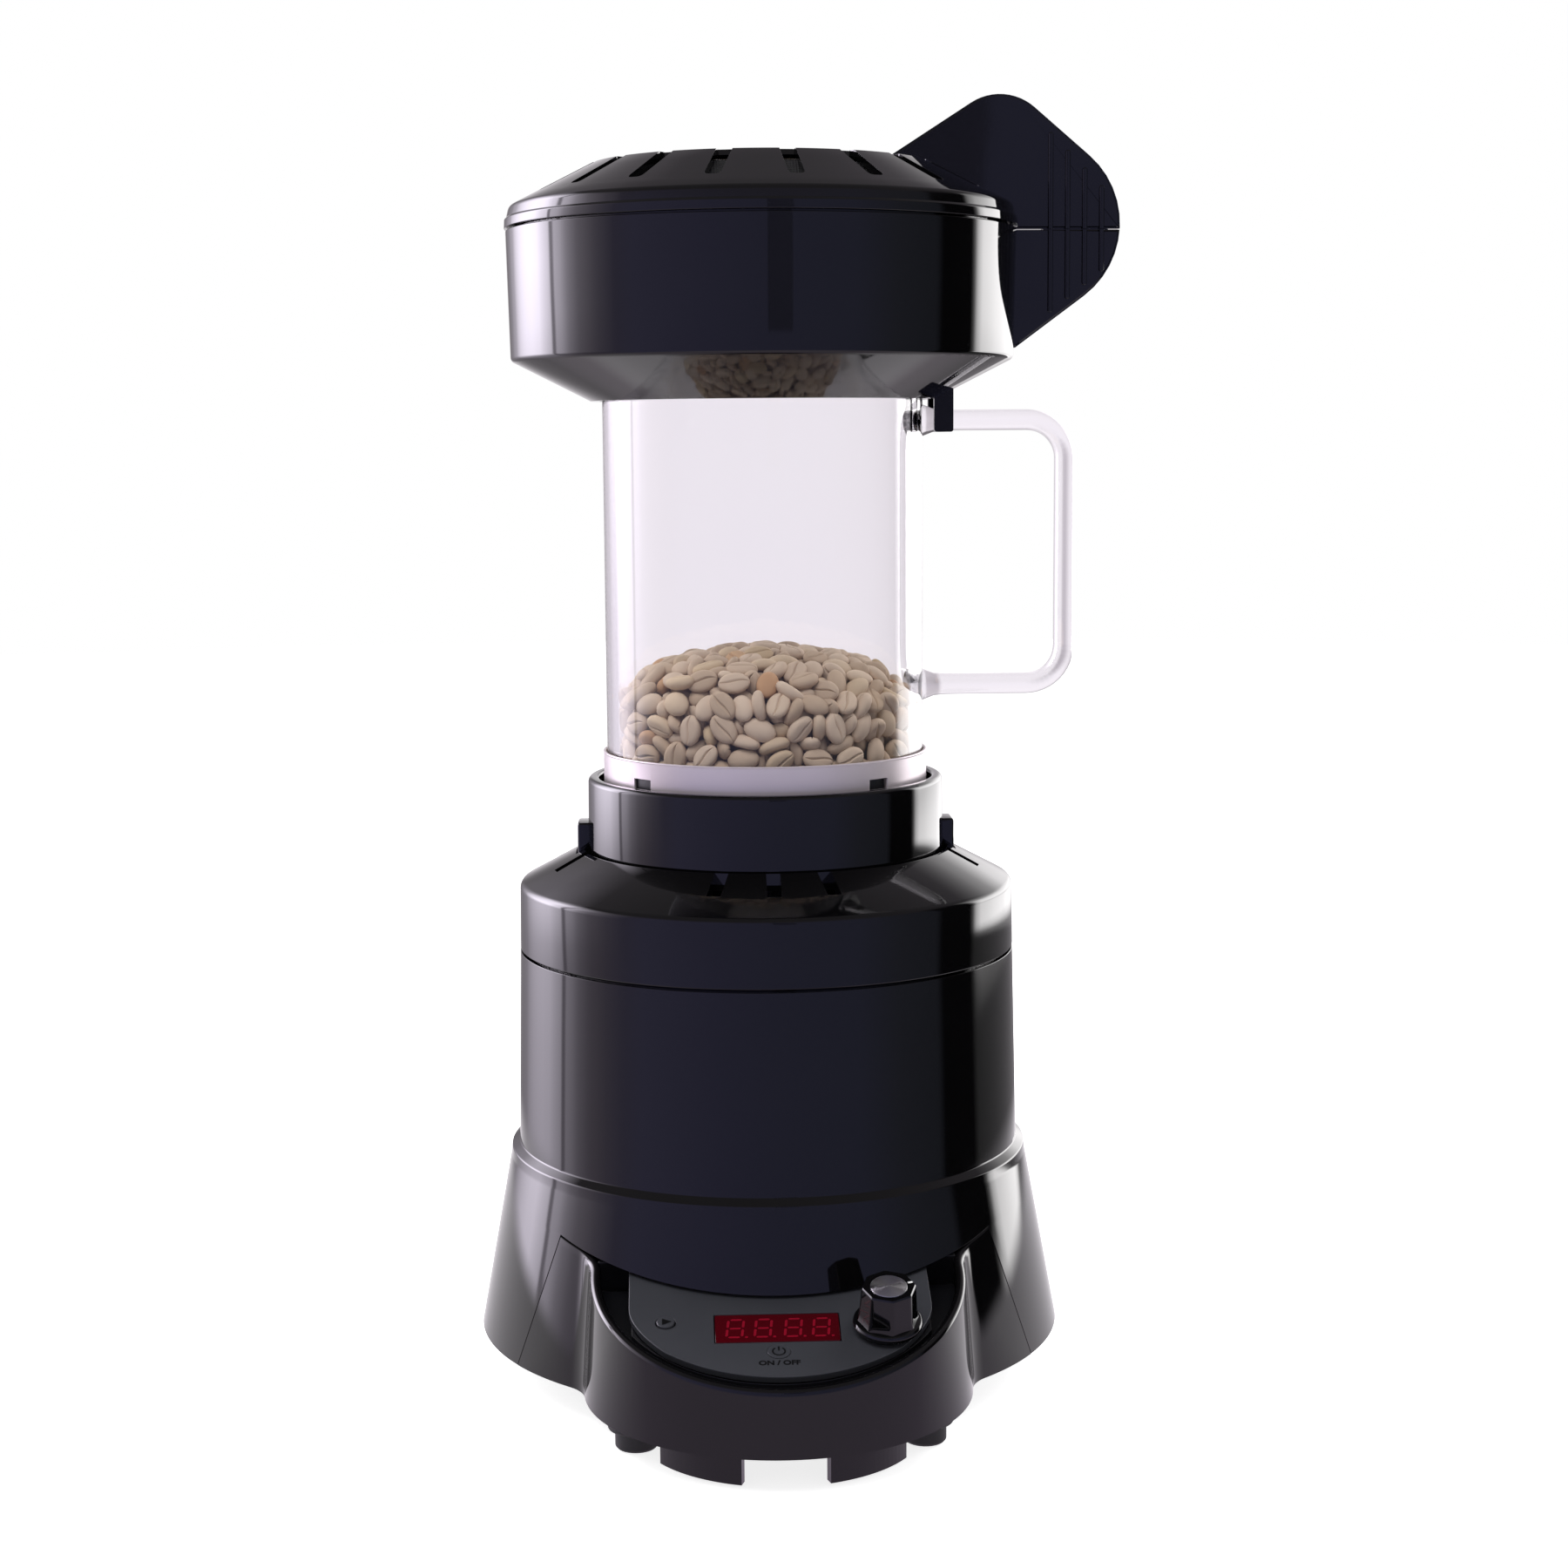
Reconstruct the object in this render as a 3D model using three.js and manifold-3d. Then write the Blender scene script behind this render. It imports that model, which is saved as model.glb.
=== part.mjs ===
// A home coffee bean roaster that blows hot air up through the beans in a glass chamber.
// Lengths are millimetres, +Z is up, the front with its control panel faces -Y,
// and the chamber's handle and the collector's grip point to +X.
import * as THREE from "three";
import { mergeVertices } from "three/addons/utils/BufferGeometryUtils.js";
import Module from "manifold-3d";

const wasm = await Module();
wasm.setup();

// Driving dimensions

// Fits shared by the whole machine
const seatGap = 0.3; // left between two pieces that rest on each other
const overrun = 6; // how far a cutting shape runs past what it cuts
const mergeDistance = 0.0001;

// Smoothness of round pieces, in counts
const shellSteps = 48;
const innerSteps = 24;
const smallSteps = 12;
const cornerSteps = 4;

// Turns a bean's number into a share that looks random
const scatterStep = 12.9898;
const scatterSpread = 43758.5453;

// Base housing: a straight body on a flared skirt, one moulded shell
const skirtBase = 11.6; // height of the skirt's lower edge above the table
const skirtRise = 57.1;
const ledgeRise = 3.9;
const ledgeWidth = 2.5;
const bodyRise = 59.2;
const bodyTopRadius = 77.6;
const bodyFlare = 1.2;
const skirtFlare = 10.5;
const housingWall = 2.6;
const edgeRound = 1.2;

// Top cap: a short wall, a sloping shoulder with air vents and a seat for the collar
const seamGroove = 0.8;
const tongueDepth = 5;
const tongueWall = 1.8;
const capWallRise = 18.8;
const capDraft = 0.3;
const capRound = 2.3;
const capRoundShare = 0.62;
const shoulderSlopeShare = 0.543;
const shoulderDrop = 2.9;
const capWall = 2.4;
const ventLength = 10;
const ventWidth = 4.2;
const ventAngles = [-105.3, -90, -74.7, 74.7, 90, 105.3, -167, -13, 13, 167]; // degrees

// Roasting chamber: a glass jug in a metal band, standing on a perforated base
const glassRadius = 49.4;
const glassWall = 3.6;
const glassLength = 116.4;
const bandWall = 0.8;
const bandRise = 25.6;
const bandFlange = 1;
const bandFlangeWidth = 5.7;
const notchWidth = 7.5;
const notchHeight = 3.2;
const notchBelowRim = 6.5;
const diffuserRise = 15.9;
const diffuserWall = 1.4;
const blowSlotWidth = 2;
const blowSlotCount = 18;
const blowSlotMargin = 4.8; // between the slots' outer ends and the glass
const gasketHeight = 1.4;
const handleReach = 44.6; // from the glass to the middle of the upright
const handleDrop = 82; // between the middles of the two arms
const handleBelowRim = 8.6;
const handleThickness = 6.4;
const handleWidth = 12;
const handleCornerRadius = 12;

// Green beans: loose beans heaped on the perforated base and against the glass
const heapClearance = 0.4;
const heapWallRise = 26;
const heapRise = 42.2;
const heapShoulderShare = 0.83;
const heapSlopeShare = 0.59;
const beanLength = 9.7;
const beanWidth = 6.9;
const beanThickness = 5;
const beanRowPitch = 8.8; // between rows, up the heap's side and over its top
const beanPitch = 11.2; // between neighbours in a row
const beanStray = 1.2; // how far apart two beans stray that share a place
const beanLean = 60; // degrees between the beans that lean most either way
const beanSunkShare = 0.4; // how much of a bean's thickness lies in the heap

// Collar that holds the chamber on the base
const collarClearance = 1.5;
const collarWall = 3.8;
const collarRise = 25.1;
const collarShelf = 5.1;
const collarShelfWidth = 7.5;
const shadowGap = 1.2; // open ring between the collar and the shoulder
const capSeatWidth = 5.5;
const seatGasketHeight = 2;
const lugReach = 3.2;
const lugWidth = 12;
const lugRise = 10.1;
const lugFoot = 0.7; // how far the lug starts above the collar's foot
const lugClearance = 0.6;

// Chaff collector body: a bowl with a sloping underside round the glass
const socketDepth = 2.2;
const socketGap = 0.7;
const socketWall = 2.8;
const coneRise = 11.8;
const collectorRadius = 77.1;
const collectorFlare = 0.9;
const collectorRise = 39.4;
const collectorWall = 2.4;
const sealHeight = 1.7;
const throatRadius = 41.8;
const throatRise = 29;
const forkTineWidth = 5.5;
const forkTineThickness = 3;
const forkTineDrop = 10;
const forkGap = 2.2;

// Collector lid: a sloping ring of slots that closes the bowl
const lidGap = 0.6;
const lidRimRise = 3.2;
const lidRimReach = 0.4;
const lidWallRise = 3;
const lidConeRise = 13;
const lidTopRadius = 52.8;
const lidRound = 1.6;
const lidDish = 1;
const lidWall = 2.4;
const lidTongue = 5;
const lidTongueWall = 1.8;
const lidSlotCount = 18;
const lidSlotWidth = 4.2;
const lidSlotLength = 16.8;
const lidSlotAngle = -81.7; // degrees, of one slot beside the front
const screenWall = 1;
const deflectorRadius = 35;
const deflectorRise = 8;
const deflectorWall = 1.6;
const deflectorStemRadius = 4;
const deflectorGap = 8;

// Grip: a flat plate, half on the bowl and half on the lid
const gripThickness = 7;
const gripReach = 32.2; // beyond the bowl's rim
const gripNoseRadius = 27;
const gripNoseRise = 0.2; // of the nose's middle above the bowl's rim
const gripUpperShare = 0.851; // slope of the edge from the nose to the peak
const gripLowerShare = 0.736; // slope of the edge from the nose to the foot
const gripPeakInset = 3.6; // the peak's distance inside the bowl's rim
const gripPeakRadius = 16.5;
const gripRootInset = 45; // where the rear edge meets the lid, inside the bowl's rim
const gripRootRise = 18.3;
const ribPitch = 5.25;
const ribWidth = 1.5;
const ribProud = 0.7;
const ribCount = 4;
const ribFirst = 10.6; // from the bowl's rim to the first rib
const ribTopRise = 29.2;
const ribFootDrop = 25;
const ribTopStep = 5.3;
const ribFootStep = 4.1;

// Console: a round bulge at the foot of the front, with the panel lying back in it
const bulgeRadius = 57.5;
const bulgeSetback = 20.6; // the bulge's centre behind the front of the skirt's lower edge
const bulgeDraftShare = 0.07;
const bulgeWall = 3;
const foldRadius = 14;
const consoleTilt = 17; // degrees
const consoleCutRise = 32.6; // the cut's height above the skirt's lower edge, at the skirt's front
const consoleCutSetback = 5.9; // of that height, behind the front of the skirt's lower edge
const consoleFlankWidth = 7.6; // of the opening beyond the bulge, at the height of its corners
const consoleCornerRise = 40.4;
const consoleSideSlopeShare = 0.333;
const consoleSeam = 0.35;
const ledgeThickness = 1.6;
const ledgeInset = 4;
const wellDepth = 9;

// Control panel and what it carries, in the panel's own plane
const panelDrop = 1.2;
const panelThickness = 2.2;
const panelHalfWidth = 43.8;
const panelFrontRadius = 51.4;
const panelRear = 3; // the hidden rear edge, behind the bulge's centre
const windowWidth = 35.5;
const windowHeight = 13;
const windowThickness = 1.5;
const windowX = -1.4;
const windowForward = 28.5;
const runX = -33.2;
const runForward = 25.3;
const runRadius = 2.6;
const powerX = -1.4;
const powerForward = 39.7;
const powerRadius = 3;
const buttonFlange = 1.3;
const buttonFlangeHeight = 1.1;
const buttonTravel = 0.5;
const buttonProud = 0.7;
const boardDepth = 8.4;
const boardThickness = 1.6;
const boardLength = 78;
const boardRadius = 49;
const boardFront = 43.5;
const boardRear = 12;
const postRadius = 2;
const postFrontX = 24;
const postFrontForward = 37.5;
const postRearX = 35;
const switchSide = 6;

// Knob and its encoder
const knobX = 30;
const knobForward = 30;
const knobFlangeRadius = 10.3;
const knobFlangeHeight = 1.6;
const knobFootRadius = 8.3;
const knobTopRadius = 7.2;
const knobHeight = 13.6;
const knobGap = 0.7;
const knobSides = 12;
const discRadius = 5.3;
const discHeight = 0.9;
const spindleRadius = 2.7;
const spindleHeight = 11;
const encoderSide = 12;
const bushingRadius = 4;
const bushingRise = 0.2;
const plungerHeight = 1;

// Bottom plate with its air intake, the two front legs and the feet
const plateRecess = 1.4;
const plateThickness = 2.5;
const intakeInner = 12;
const intakeOuter = 30;
const intakeWidth = 3;
const intakeCount = 16;
const legRadius = 41.5;
const legThickness = 3;
const legAhead = 8.8; // the middle of the legs' curve ahead of the bulge's centre
const legClearance = 1;
const legInnerAngle = 17.5; // degrees from straight ahead
const legOuterAngle = 58;
const footRadius = 8.4;
const footTipRadius = 6.3;
const footStepRise = 5.4;
const frontFootX = 42;
const frontFootAhead = 14.8; // of the bulge's centre
const sideFootInset = 12.8; // from the skirt's lower edge
const sideFootBack = 6;
const rearFootInset = 13.8;
const bossRadius = 4;
const bossRise = 20;
const screwRadius = 1.4;
const screwHeadRadius = 3;
const screwHeadHeight = 1.6;
const screwLength = 14;

// Blower, motor and heater
const blowerClearance = 19.6; // between the blower and the body's upper edge, across
const blowerRise = 32;
const blowerWall = 2;
const blowerIntakeRadius = 24;
const impellerClearance = 8; // between the blades and the blower's wall
const impellerRise = 18;
const impellerLift = 3.5;
const impellerDisc = 2;
const hubRadius = 7;
const bladeCount = 12;
const bladeThickness = 1.4;
const bladeInner = 26;
const shaftRadius = 2.5;
const ductWall = 2;
const ductFlange = 9;
const ductFlangeHeight = 2;
const motorRadius = 21;
const motorRingWall = 2;
const motorRingRise = 10;
const ductRibThickness = 3;
const heaterTubeWall = 1;
const heaterTubeSetback = 1; // of the sleeve inside the duct
const sleeveClearance = 1.5; // between the sleeve and the collar's opening
const coilClearance = 6.5; // between the coil and the heater's sleeve
const coilWireRadius = 1.1;
const coilTurns = 6;
const coilStepsPerTurn = 12;
const micaThickness = 1.2;
const micaBand = 4;
const cutoutRadius = 7;
const cutoutDepth = 5;
const powerBoardWidth = 60;
const powerBoardHeight = 44;
const powerBoardThickness = 1.6;
const powerBoardInset = 11.6; // the board's middle inside the body's upper edge
const inletRadius = 5.8;
const inletFlangeRadius = 7.6;
const inletFlangeDepth = 1.4;
const inletLength = 12;
const inletRise = 20; // the cord inlet's height above the skirt's lower edge
const inletBore = 4.6;

// Shares of the height inside the base, from the bottom plate to the cap's seat
const motorFootShare = 0.27;
const motorTopShare = 0.57;
const ductTopShare = 0.6;
const coilFootShare = 0.66;
const coilTopShare = 0.92;

// Heights that follow from the sizes above, from the table up
const skirtTop = skirtBase + skirtRise;
const bodyFoot = skirtTop + ledgeRise;
const bodyTop = bodyFoot + bodyRise;
const capFoot = bodyTop + seamGroove;
const capWallTop = capFoot + capWallRise;
const shoulderFoot = capWallTop + capRound;
const plateFoot = skirtBase + plateRecess;
const plateTop = plateFoot + plateThickness;

// Radii that follow
const bodyFootRadius = bodyTopRadius + bodyFlare;
const ledgeRadius = bodyFootRadius + ledgeWidth;
const skirtRadius = ledgeRadius + skirtFlare;
const bulgeForward = skirtRadius - bulgeSetback;
const consoleCutForward = skirtRadius - consoleCutSetback;
const consoleHalfWidth = bulgeRadius + consoleFlankWidth;
const bandInner = glassRadius + seatGap;
const bandRadius = bandInner + bandWall;
const glassInner = glassRadius - glassWall;
const heapRadius = glassInner - heapClearance;
const collarInner = bandRadius + collarClearance;
const collarRadius = collarInner + collarWall;
const collarOpening = collarRadius - collarWall - collarShelfWidth;
const shoulderInner = collarRadius + shadowGap;
const sleeveRadius = collarOpening - sleeveClearance;
const sleeveInner = sleeveRadius - heaterTubeWall;
const coilRadius = sleeveInner - coilClearance;
const ductRadius = sleeveRadius + heaterTubeSetback;
const blowerRadius = bodyTopRadius - blowerClearance;
const impellerRadius = blowerRadius - blowerWall - impellerClearance;
const capTopRadius = bodyTopRadius - capDraft;
const shoulderOuter = capTopRadius - capRound;
const capOpening = collarOpening + capSeatWidth - collarWall;
const shoulderTop = shoulderFoot + (shoulderOuter - shoulderInner) * shoulderSlopeShare;
const collarSeat = shoulderTop - shoulderDrop;
const collarFoot = collarSeat + seatGap;
const chamberFoot = collarFoot + collarShelf + seatGasketHeight + 2 * seatGap;
const diffuserTop = bandFlange + seatGap + diffuserRise;
const glassFoot = diffuserTop + gasketHeight + 2 * seatGap;
const glassTop = chamberFoot + glassFoot + glassLength;
const collectorFoot = glassTop - socketDepth;
const socketInner = glassRadius + socketGap;
const socketRadius = socketInner + socketWall;
const socketRoof = socketDepth + sealHeight + 2 * seatGap;
const collectorTop = coneRise + collectorRise;
const collectorRimRadius = collectorRadius + collectorFlare;
const lidFoot = collectorFoot + collectorTop + lidGap;

// The origin is the middle of the machine's footprint, on the table
const noseReach = collectorRimRadius + gripReach;
const bulgeReach = bulgeForward + bulgeRadius;
const axisX = (skirtRadius - noseReach) / 2;
const axisY = (bulgeReach - skirtRadius) / 2;

// Finishes
const finish = (color, roughness, metalness) =>
  new THREE.MeshStandardMaterial({ color, roughness, metalness, flatShading: true });
const glossBlack = finish(0x0b0b12, 0.12, 0);
const panelGrey = finish(0x45474a, 0.5, 0);
const redWindow = finish(0x7a0413, 0.15, 0);
const rubberBlack = finish(0x121212, 0.85, 0);
const clearGlass = finish(0xf1f1f6, 0.04, 0);
const paleMetal = finish(0xdedce0, 0.35, 0.8);
const brushedMetal = finish(0xd5d5d8, 0.3, 1);
const steel = finish(0x9a9a9e, 0.35, 1);
const beanTan = finish(0xb8a78b, 0.75, 0);
const seal = finish(0xb9b4b0, 0.7, 0);
const boardGreen = finish(0x1e4d31, 0.6, 0);
const mica = finish(0xc9b48a, 0.6, 0);
const darkMatte = finish(0x24242a, 0.6, 0);

// Shape helpers

const radians = THREE.MathUtils.degToRad;

function solidOf(geometry) {
  const bare = new THREE.BufferGeometry();
  bare.setAttribute("position", geometry.getAttribute("position"));
  if (geometry.index) bare.setIndex(geometry.index);
  const merged = mergeVertices(bare, mergeDistance);
  const corners = merged.index.array;
  const kept = [];
  for (let i = 0; i < corners.length; i += 3) {
    const [a, b, c] = corners.slice(i, i + 3);
    if (a !== b && b !== c && c !== a) kept.push(a, b, c);
  }
  return new wasm.Manifold(
    new wasm.Mesh({
      numProp: 3,
      vertProperties: merged.getAttribute("position").array,
      triVerts: new Uint32Array(kept),
    }),
  );
}

function geometryOf(solid) {
  const mesh = solid.getMesh();
  const geometry = new THREE.BufferGeometry();
  geometry.setAttribute("position", new THREE.BufferAttribute(mesh.vertProperties, 3));
  geometry.setIndex(new THREE.BufferAttribute(mesh.triVerts, 1));
  return geometry;
}

// A solid turned about Z from [radius, height] points that run up the outside and down the inside.
function turned(points, steps = shellSteps) {
  const profile = points.map(([radius, height]) => new THREE.Vector2(radius, height));
  if (points[0][0] > 0) profile.push(profile[0].clone());
  return solidOf(new THREE.LatheGeometry(profile, steps).rotateX(Math.PI / 2));
}

// A disc or cone between two heights.
function drum(footRadius, topRadius, foot, top, steps = smallSteps) {
  return turned([[0, foot], [footRadius, foot], [topRadius, top], [0, top]], steps);
}

function box(width, depth, height, x, y, z) {
  return solidOf(new THREE.BoxGeometry(width, depth, height).translate(x, y, z));
}

// A straight-sided outline whose [x, y, radius] corners are rounded by arcs.
function roundedOutline(corners) {
  const shape = new THREE.Shape();
  corners.forEach(([x, y, radius], i) => {
    const here = new THREE.Vector2(x, y);
    const [px, py] = corners.at(i - 1);
    const [nx, ny] = corners[(i + 1) % corners.length];
    const back = new THREE.Vector2(px, py).sub(here).normalize();
    const ahead = new THREE.Vector2(nx, ny).sub(here).normalize();
    const half = Math.acos(back.dot(ahead)) / 2;
    const reach = radius / Math.tan(half);
    const start = here.clone().addScaledVector(back, reach);
    const end = here.clone().addScaledVector(ahead, reach);
    const middle = back.clone().add(ahead).normalize();
    const centre = here.clone().addScaledVector(middle, radius / Math.sin(half));
    const clockwise = back.cross(ahead) > 0;
    if (i === 0) shape.moveTo(start.x, start.y);
    else shape.lineTo(start.x, start.y);
    if (radius === 0) return;
    const from = Math.atan2(start.y - centre.y, start.x - centre.x);
    const to = Math.atan2(end.y - centre.y, end.x - centre.x);
    shape.absarc(centre.x, centre.y, radius, from, to, clockwise);
  });
  shape.closePath();
  return shape;
}

function joined(...solids) {
  return solids.reduce((whole, piece) => whole.add(piece));
}

function cutBy(solid, ...cutters) {
  return cutters.reduce((whole, cutter) => whole.subtract(cutter), solid);
}

function around(count, startDegrees, make) {
  return Array.from({ length: count }, (_, i) => {
    const degrees = startDegrees + (i * 360) / count;
    return make(degrees, i);
  });
}

// Every piece is one named mesh in the group that carries it.
function place(group, name, solid, material, x = 0, y = 0, z = 0) {
  const mesh = new THREE.Mesh(geometryOf(solid), material);
  mesh.name = name;
  mesh.position.set(x, y, z);
  group.add(mesh);
  return mesh;
}

function groupAt(parent, x, y, z) {
  const group = new THREE.Group();
  group.position.set(x, y, z);
  parent.add(group);
  return group;
}

const roaster = new THREE.Group();
const machine = groupAt(roaster, axisX, axisY, 0);

// Base housing

const skirtRadiusAt = (height) => skirtRadius - (skirtFlare * (height - skirtBase)) / skirtRise;
const cornerHeight = skirtBase + consoleCornerRise;
const cutHeight = skirtBase + consoleCutRise;
const consoleAngle = radians(consoleTilt);

// What lies under the console's slanting plane and between its sloping sides, drawn in by a margin.
function consoleRegion(margin) {
  const halfWidthAt = (height) =>
    consoleHalfWidth - margin + (cornerHeight - height) * consoleSideSlopeShare;
  const foot = skirtBase - overrun;
  const top = bodyFoot;
  const front = bulgeReach + overrun;
  const outline = new THREE.Shape([
    new THREE.Vector2(-halfWidthAt(foot), foot),
    new THREE.Vector2(halfWidthAt(foot), foot),
    new THREE.Vector2(halfWidthAt(top), top),
    new THREE.Vector2(-halfWidthAt(top), top),
  ]);
  const wedge = new THREE.ExtrudeGeometry(outline, { depth: front, bevelEnabled: false });
  wedge.rotateX(Math.PI / 2);
  const above = new THREE.BoxGeometry(4 * bulgeReach, 4 * bulgeReach, bulgeReach);
  above.translate(0, 0, bulgeReach / 2 - margin);
  above.rotateX(consoleAngle);
  above.translate(0, -consoleCutForward, cutHeight);
  return solidOf(wedge).subtract(solidOf(above));
}

function baseHousing() {
  const foot = skirtBase + edgeRound;
  const shell = turned([
    [skirtRadius - housingWall, skirtBase],
    [skirtRadius - edgeRound, skirtBase],
    [skirtRadius, foot],
    [ledgeRadius, skirtTop - edgeRound / 2],
    [ledgeRadius - edgeRound / 2, skirtTop + edgeRound / 2],
    [bodyFootRadius, bodyFoot],
    [bodyTopRadius, bodyTop - edgeRound / 2],
    [bodyTopRadius - edgeRound / 2, bodyTop],
    [bodyTopRadius - housingWall, bodyTop],
    [bodyFootRadius - housingWall, bodyFoot],
    [ledgeRadius - housingWall, skirtTop - housingWall],
  ]);
  const bossTop = plateTop + bossRise;
  const withinWall = (height) => skirtRadiusAt(height) - housingWall / 2;
  const core = drum(withinWall(skirtBase), withinWall(bossTop), skirtBase, bossTop, shellSteps);
  const bosses = bossPlaces.map(([x, y]) =>
    drum(bossRadius, bossRadius, plateTop + seatGap, bossTop).translate(x, y, 0).intersect(core),
  );
  const bores = bossPlaces.map(([x, y]) =>
    drum(
      screwRadius + seatGap,
      screwRadius + seatGap,
      skirtBase,
      plateFoot + screwLength + 2 * seatGap,
    ).translate(x, y, 0),
  );
  const inletHole = squareToSkirt(
    drum(inletRadius + seatGap, inletRadius + seatGap, -overrun, overrun),
  );
  return cutBy(joined(shell, ...bosses), consoleRegion(0), inletHole, ...bores);
}

// Screw bosses stand against the inside of the skirt, clear of the console
const bossDistance = skirtRadiusAt(plateTop + bossRise) - housingWall - bossRadius / 2;
const bossPlaces = [45, 135, -18, -162].map((degrees) => [
  bossDistance * Math.cos(radians(degrees)),
  bossDistance * Math.sin(radians(degrees)),
]);

// A round solid laid square to the skirt's rear at the cord inlet's height.
const inletHeight = skirtBase + inletRise;
function squareToSkirt(solid) {
  const lean = THREE.MathUtils.radToDeg(Math.atan(skirtFlare / skirtRise));
  return solid.rotate([lean - 90, 0, 0]).translate(0, skirtRadiusAt(inletHeight), inletHeight);
}

place(machine, "base_housing", baseHousing(), glossBlack);

// Console bezel: the bulge, the flanks that continue the skirt, and the ledge under the panel

const panelPlane = groupAt(machine, 0, -bulgeForward, 0);
panelPlane.position.z =
  cutHeight + (consoleCutForward - bulgeForward) * Math.tan(consoleAngle) - panelDrop;
panelPlane.rotation.x = consoleAngle;

// Carries a solid from the panel's own plane to where the machine holds it.
function tilted(solid) {
  return solid.rotate([consoleTilt, 0, 0]).translate(0, -bulgeForward, panelPlane.position.z);
}

// Bulge and skirt in plan at one height, each drawn in, with a rounded fold on either side.
function consoleOutline(height, bulgeInset, skirtInset) {
  const skirt = skirtRadiusAt(height) - skirtInset;
  const bulge = bulgeRadius - (height - skirtBase) * bulgeDraftShare - bulgeInset;
  const fold = foldRadius + bulgeInset;
  const foldBack =
    ((skirt + fold) ** 2 - (bulge + fold) ** 2 + bulgeForward ** 2) / (2 * bulgeForward);
  const foldSide = Math.sqrt((skirt + fold) ** 2 - foldBack ** 2);
  const onBulge = Math.atan2(bulgeForward - foldBack, foldSide);
  const onSkirt = Math.atan2(-foldBack, foldSide);
  const right = [
    ...arc(0, -bulgeForward, bulge, -Math.PI / 2, onBulge, smallSteps + 2),
    ...arc(foldSide, -foldBack, fold, Math.PI + onBulge, Math.PI + onSkirt, cornerSteps),
    ...arc(0, 0, skirt, onSkirt, Math.PI / 2, shellSteps / 2),
    [0, skirt],
  ];
  const left = right.slice(1, -1).map(([x, y]) => [-x, y]);
  return [...right, ...left.reverse()];
}

// Points along an arc, without its last one.
function arc(x, y, radius, from, to, steps) {
  return Array.from({ length: steps }, (_, i) => {
    const turn = from + ((to - from) * i) / steps;
    return [x + radius * Math.cos(turn), y + radius * Math.sin(turn)];
  });
}

// A solid whose outline changes evenly from one height to another.
function tapered(outlineAt, foot, top) {
  const low = outlineAt(foot);
  const high = outlineAt(top);
  const count = low.length;
  const corners = [...low.map((point) => [...point, foot]), ...high.map((point) => [...point, top])];
  const faces = low.flatMap((_, i) => {
    const next = (i + 1) % count;
    return [i, next, count + next, i, count + next, count + i];
  });
  const flat = (outline) =>
    THREE.ShapeUtils.triangulateShape(
      outline.map(([x, y]) => new THREE.Vector2(x, y)),
      [],
    );
  flat(low).forEach(([a, b, c]) => faces.push(a, c, b));
  flat(high).forEach(([a, b, c]) => faces.push(count + a, count + b, count + c));
  const geometry = new THREE.BufferGeometry();
  geometry.setAttribute("position", new THREE.Float32BufferAttribute(corners.flat(), 3));
  geometry.setIndex(faces);
  return solidOf(geometry);
}

function consoleBezel() {
  const outside = tapered((height) => consoleOutline(height, 0, 0), skirtBase, bodyFoot);
  const inside = tapered(
    (height) => consoleOutline(height, bulgeWall, housingWall),
    skirtBase - overrun,
    bodyFoot + overrun,
  );
  const shell = outside.subtract(inside).intersect(consoleRegion(consoleSeam));
  return joined(shell, tilted(panelSupport()).intersect(outside));
}

// In the panel's plane: a ledge under its round front, and a deep well on either side of it.
function panelSupport() {
  const ledgeTop = -panelThickness - seatGap;
  const wellFloor = -wellDepth - ledgeThickness;
  const size = 2 * bulgeRadius;
  const rear = panelRear + ledgeInset;
  const round = (radius, foot, top) => drum(radius, radius, foot, top, shellSteps);
  const bulgeDisc = round(bulgeRadius, wellFloor, ledgeTop);
  const forward = box(size, size, size, 0, rear - bulgeRadius, 0);
  const between = box(2 * panelHalfWidth, size, size, 0, 0, 0);
  const inner = 2 * (panelHalfWidth - ledgeThickness);
  const underPanel = box(inner, size, size, 0, 0, 0);
  const board = round(panelFrontRadius - ledgeInset, -size, size);
  const encoder = round(encoderSide * Math.SQRT1_2 + seatGap, -size, size);
  const ledge = cutBy(
    round(bulgeRadius, ledgeTop - ledgeThickness, ledgeTop).intersect(between),
    board,
    encoder.translate(knobX, -knobForward, 0),
  );
  const floor = round(bulgeRadius, wellFloor, -wellDepth).subtract(underPanel);
  const rearWall = box(size, ledgeThickness, size, 0, rear - ledgeThickness / 2, 0);
  const walls = bulgeDisc.intersect(joined(between, rearWall)).subtract(underPanel);
  return joined(ledge, floor, walls).intersect(forward);
}

place(machine, "console_bezel", consoleBezel(), glossBlack);

// Control panel: a grey plate lying in the console, with posts that carry the circuit board

const panelOutline = new THREE.Shape();
const panelSideForward = Math.sqrt(
  panelFrontRadius ** 2 - panelHalfWidth ** 2,
);
panelOutline.moveTo(-panelHalfWidth, panelRear);
panelOutline.lineTo(-panelHalfWidth, -panelSideForward);
panelOutline.absarc(
  0,
  0,
  panelFrontRadius,
  Math.PI + Math.asin(panelSideForward / panelFrontRadius),
  2 * Math.PI - Math.asin(panelSideForward / panelFrontRadius),
  false,
);
panelOutline.lineTo(panelHalfWidth, panelRear);
panelOutline.closePath();

const boardPosts = [
  [-postFrontX, -postFrontForward],
  [postFrontX / 2, -postFrontForward],
  [-postRearX, -boardRear - 2 * postRadius],
  [postRearX, -boardRear - 2 * postRadius],
];

function roundHole(radius, x, forward) {
  return drum(radius, radius, -panelThickness - overrun, overrun).translate(x, -forward, 0);
}

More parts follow.
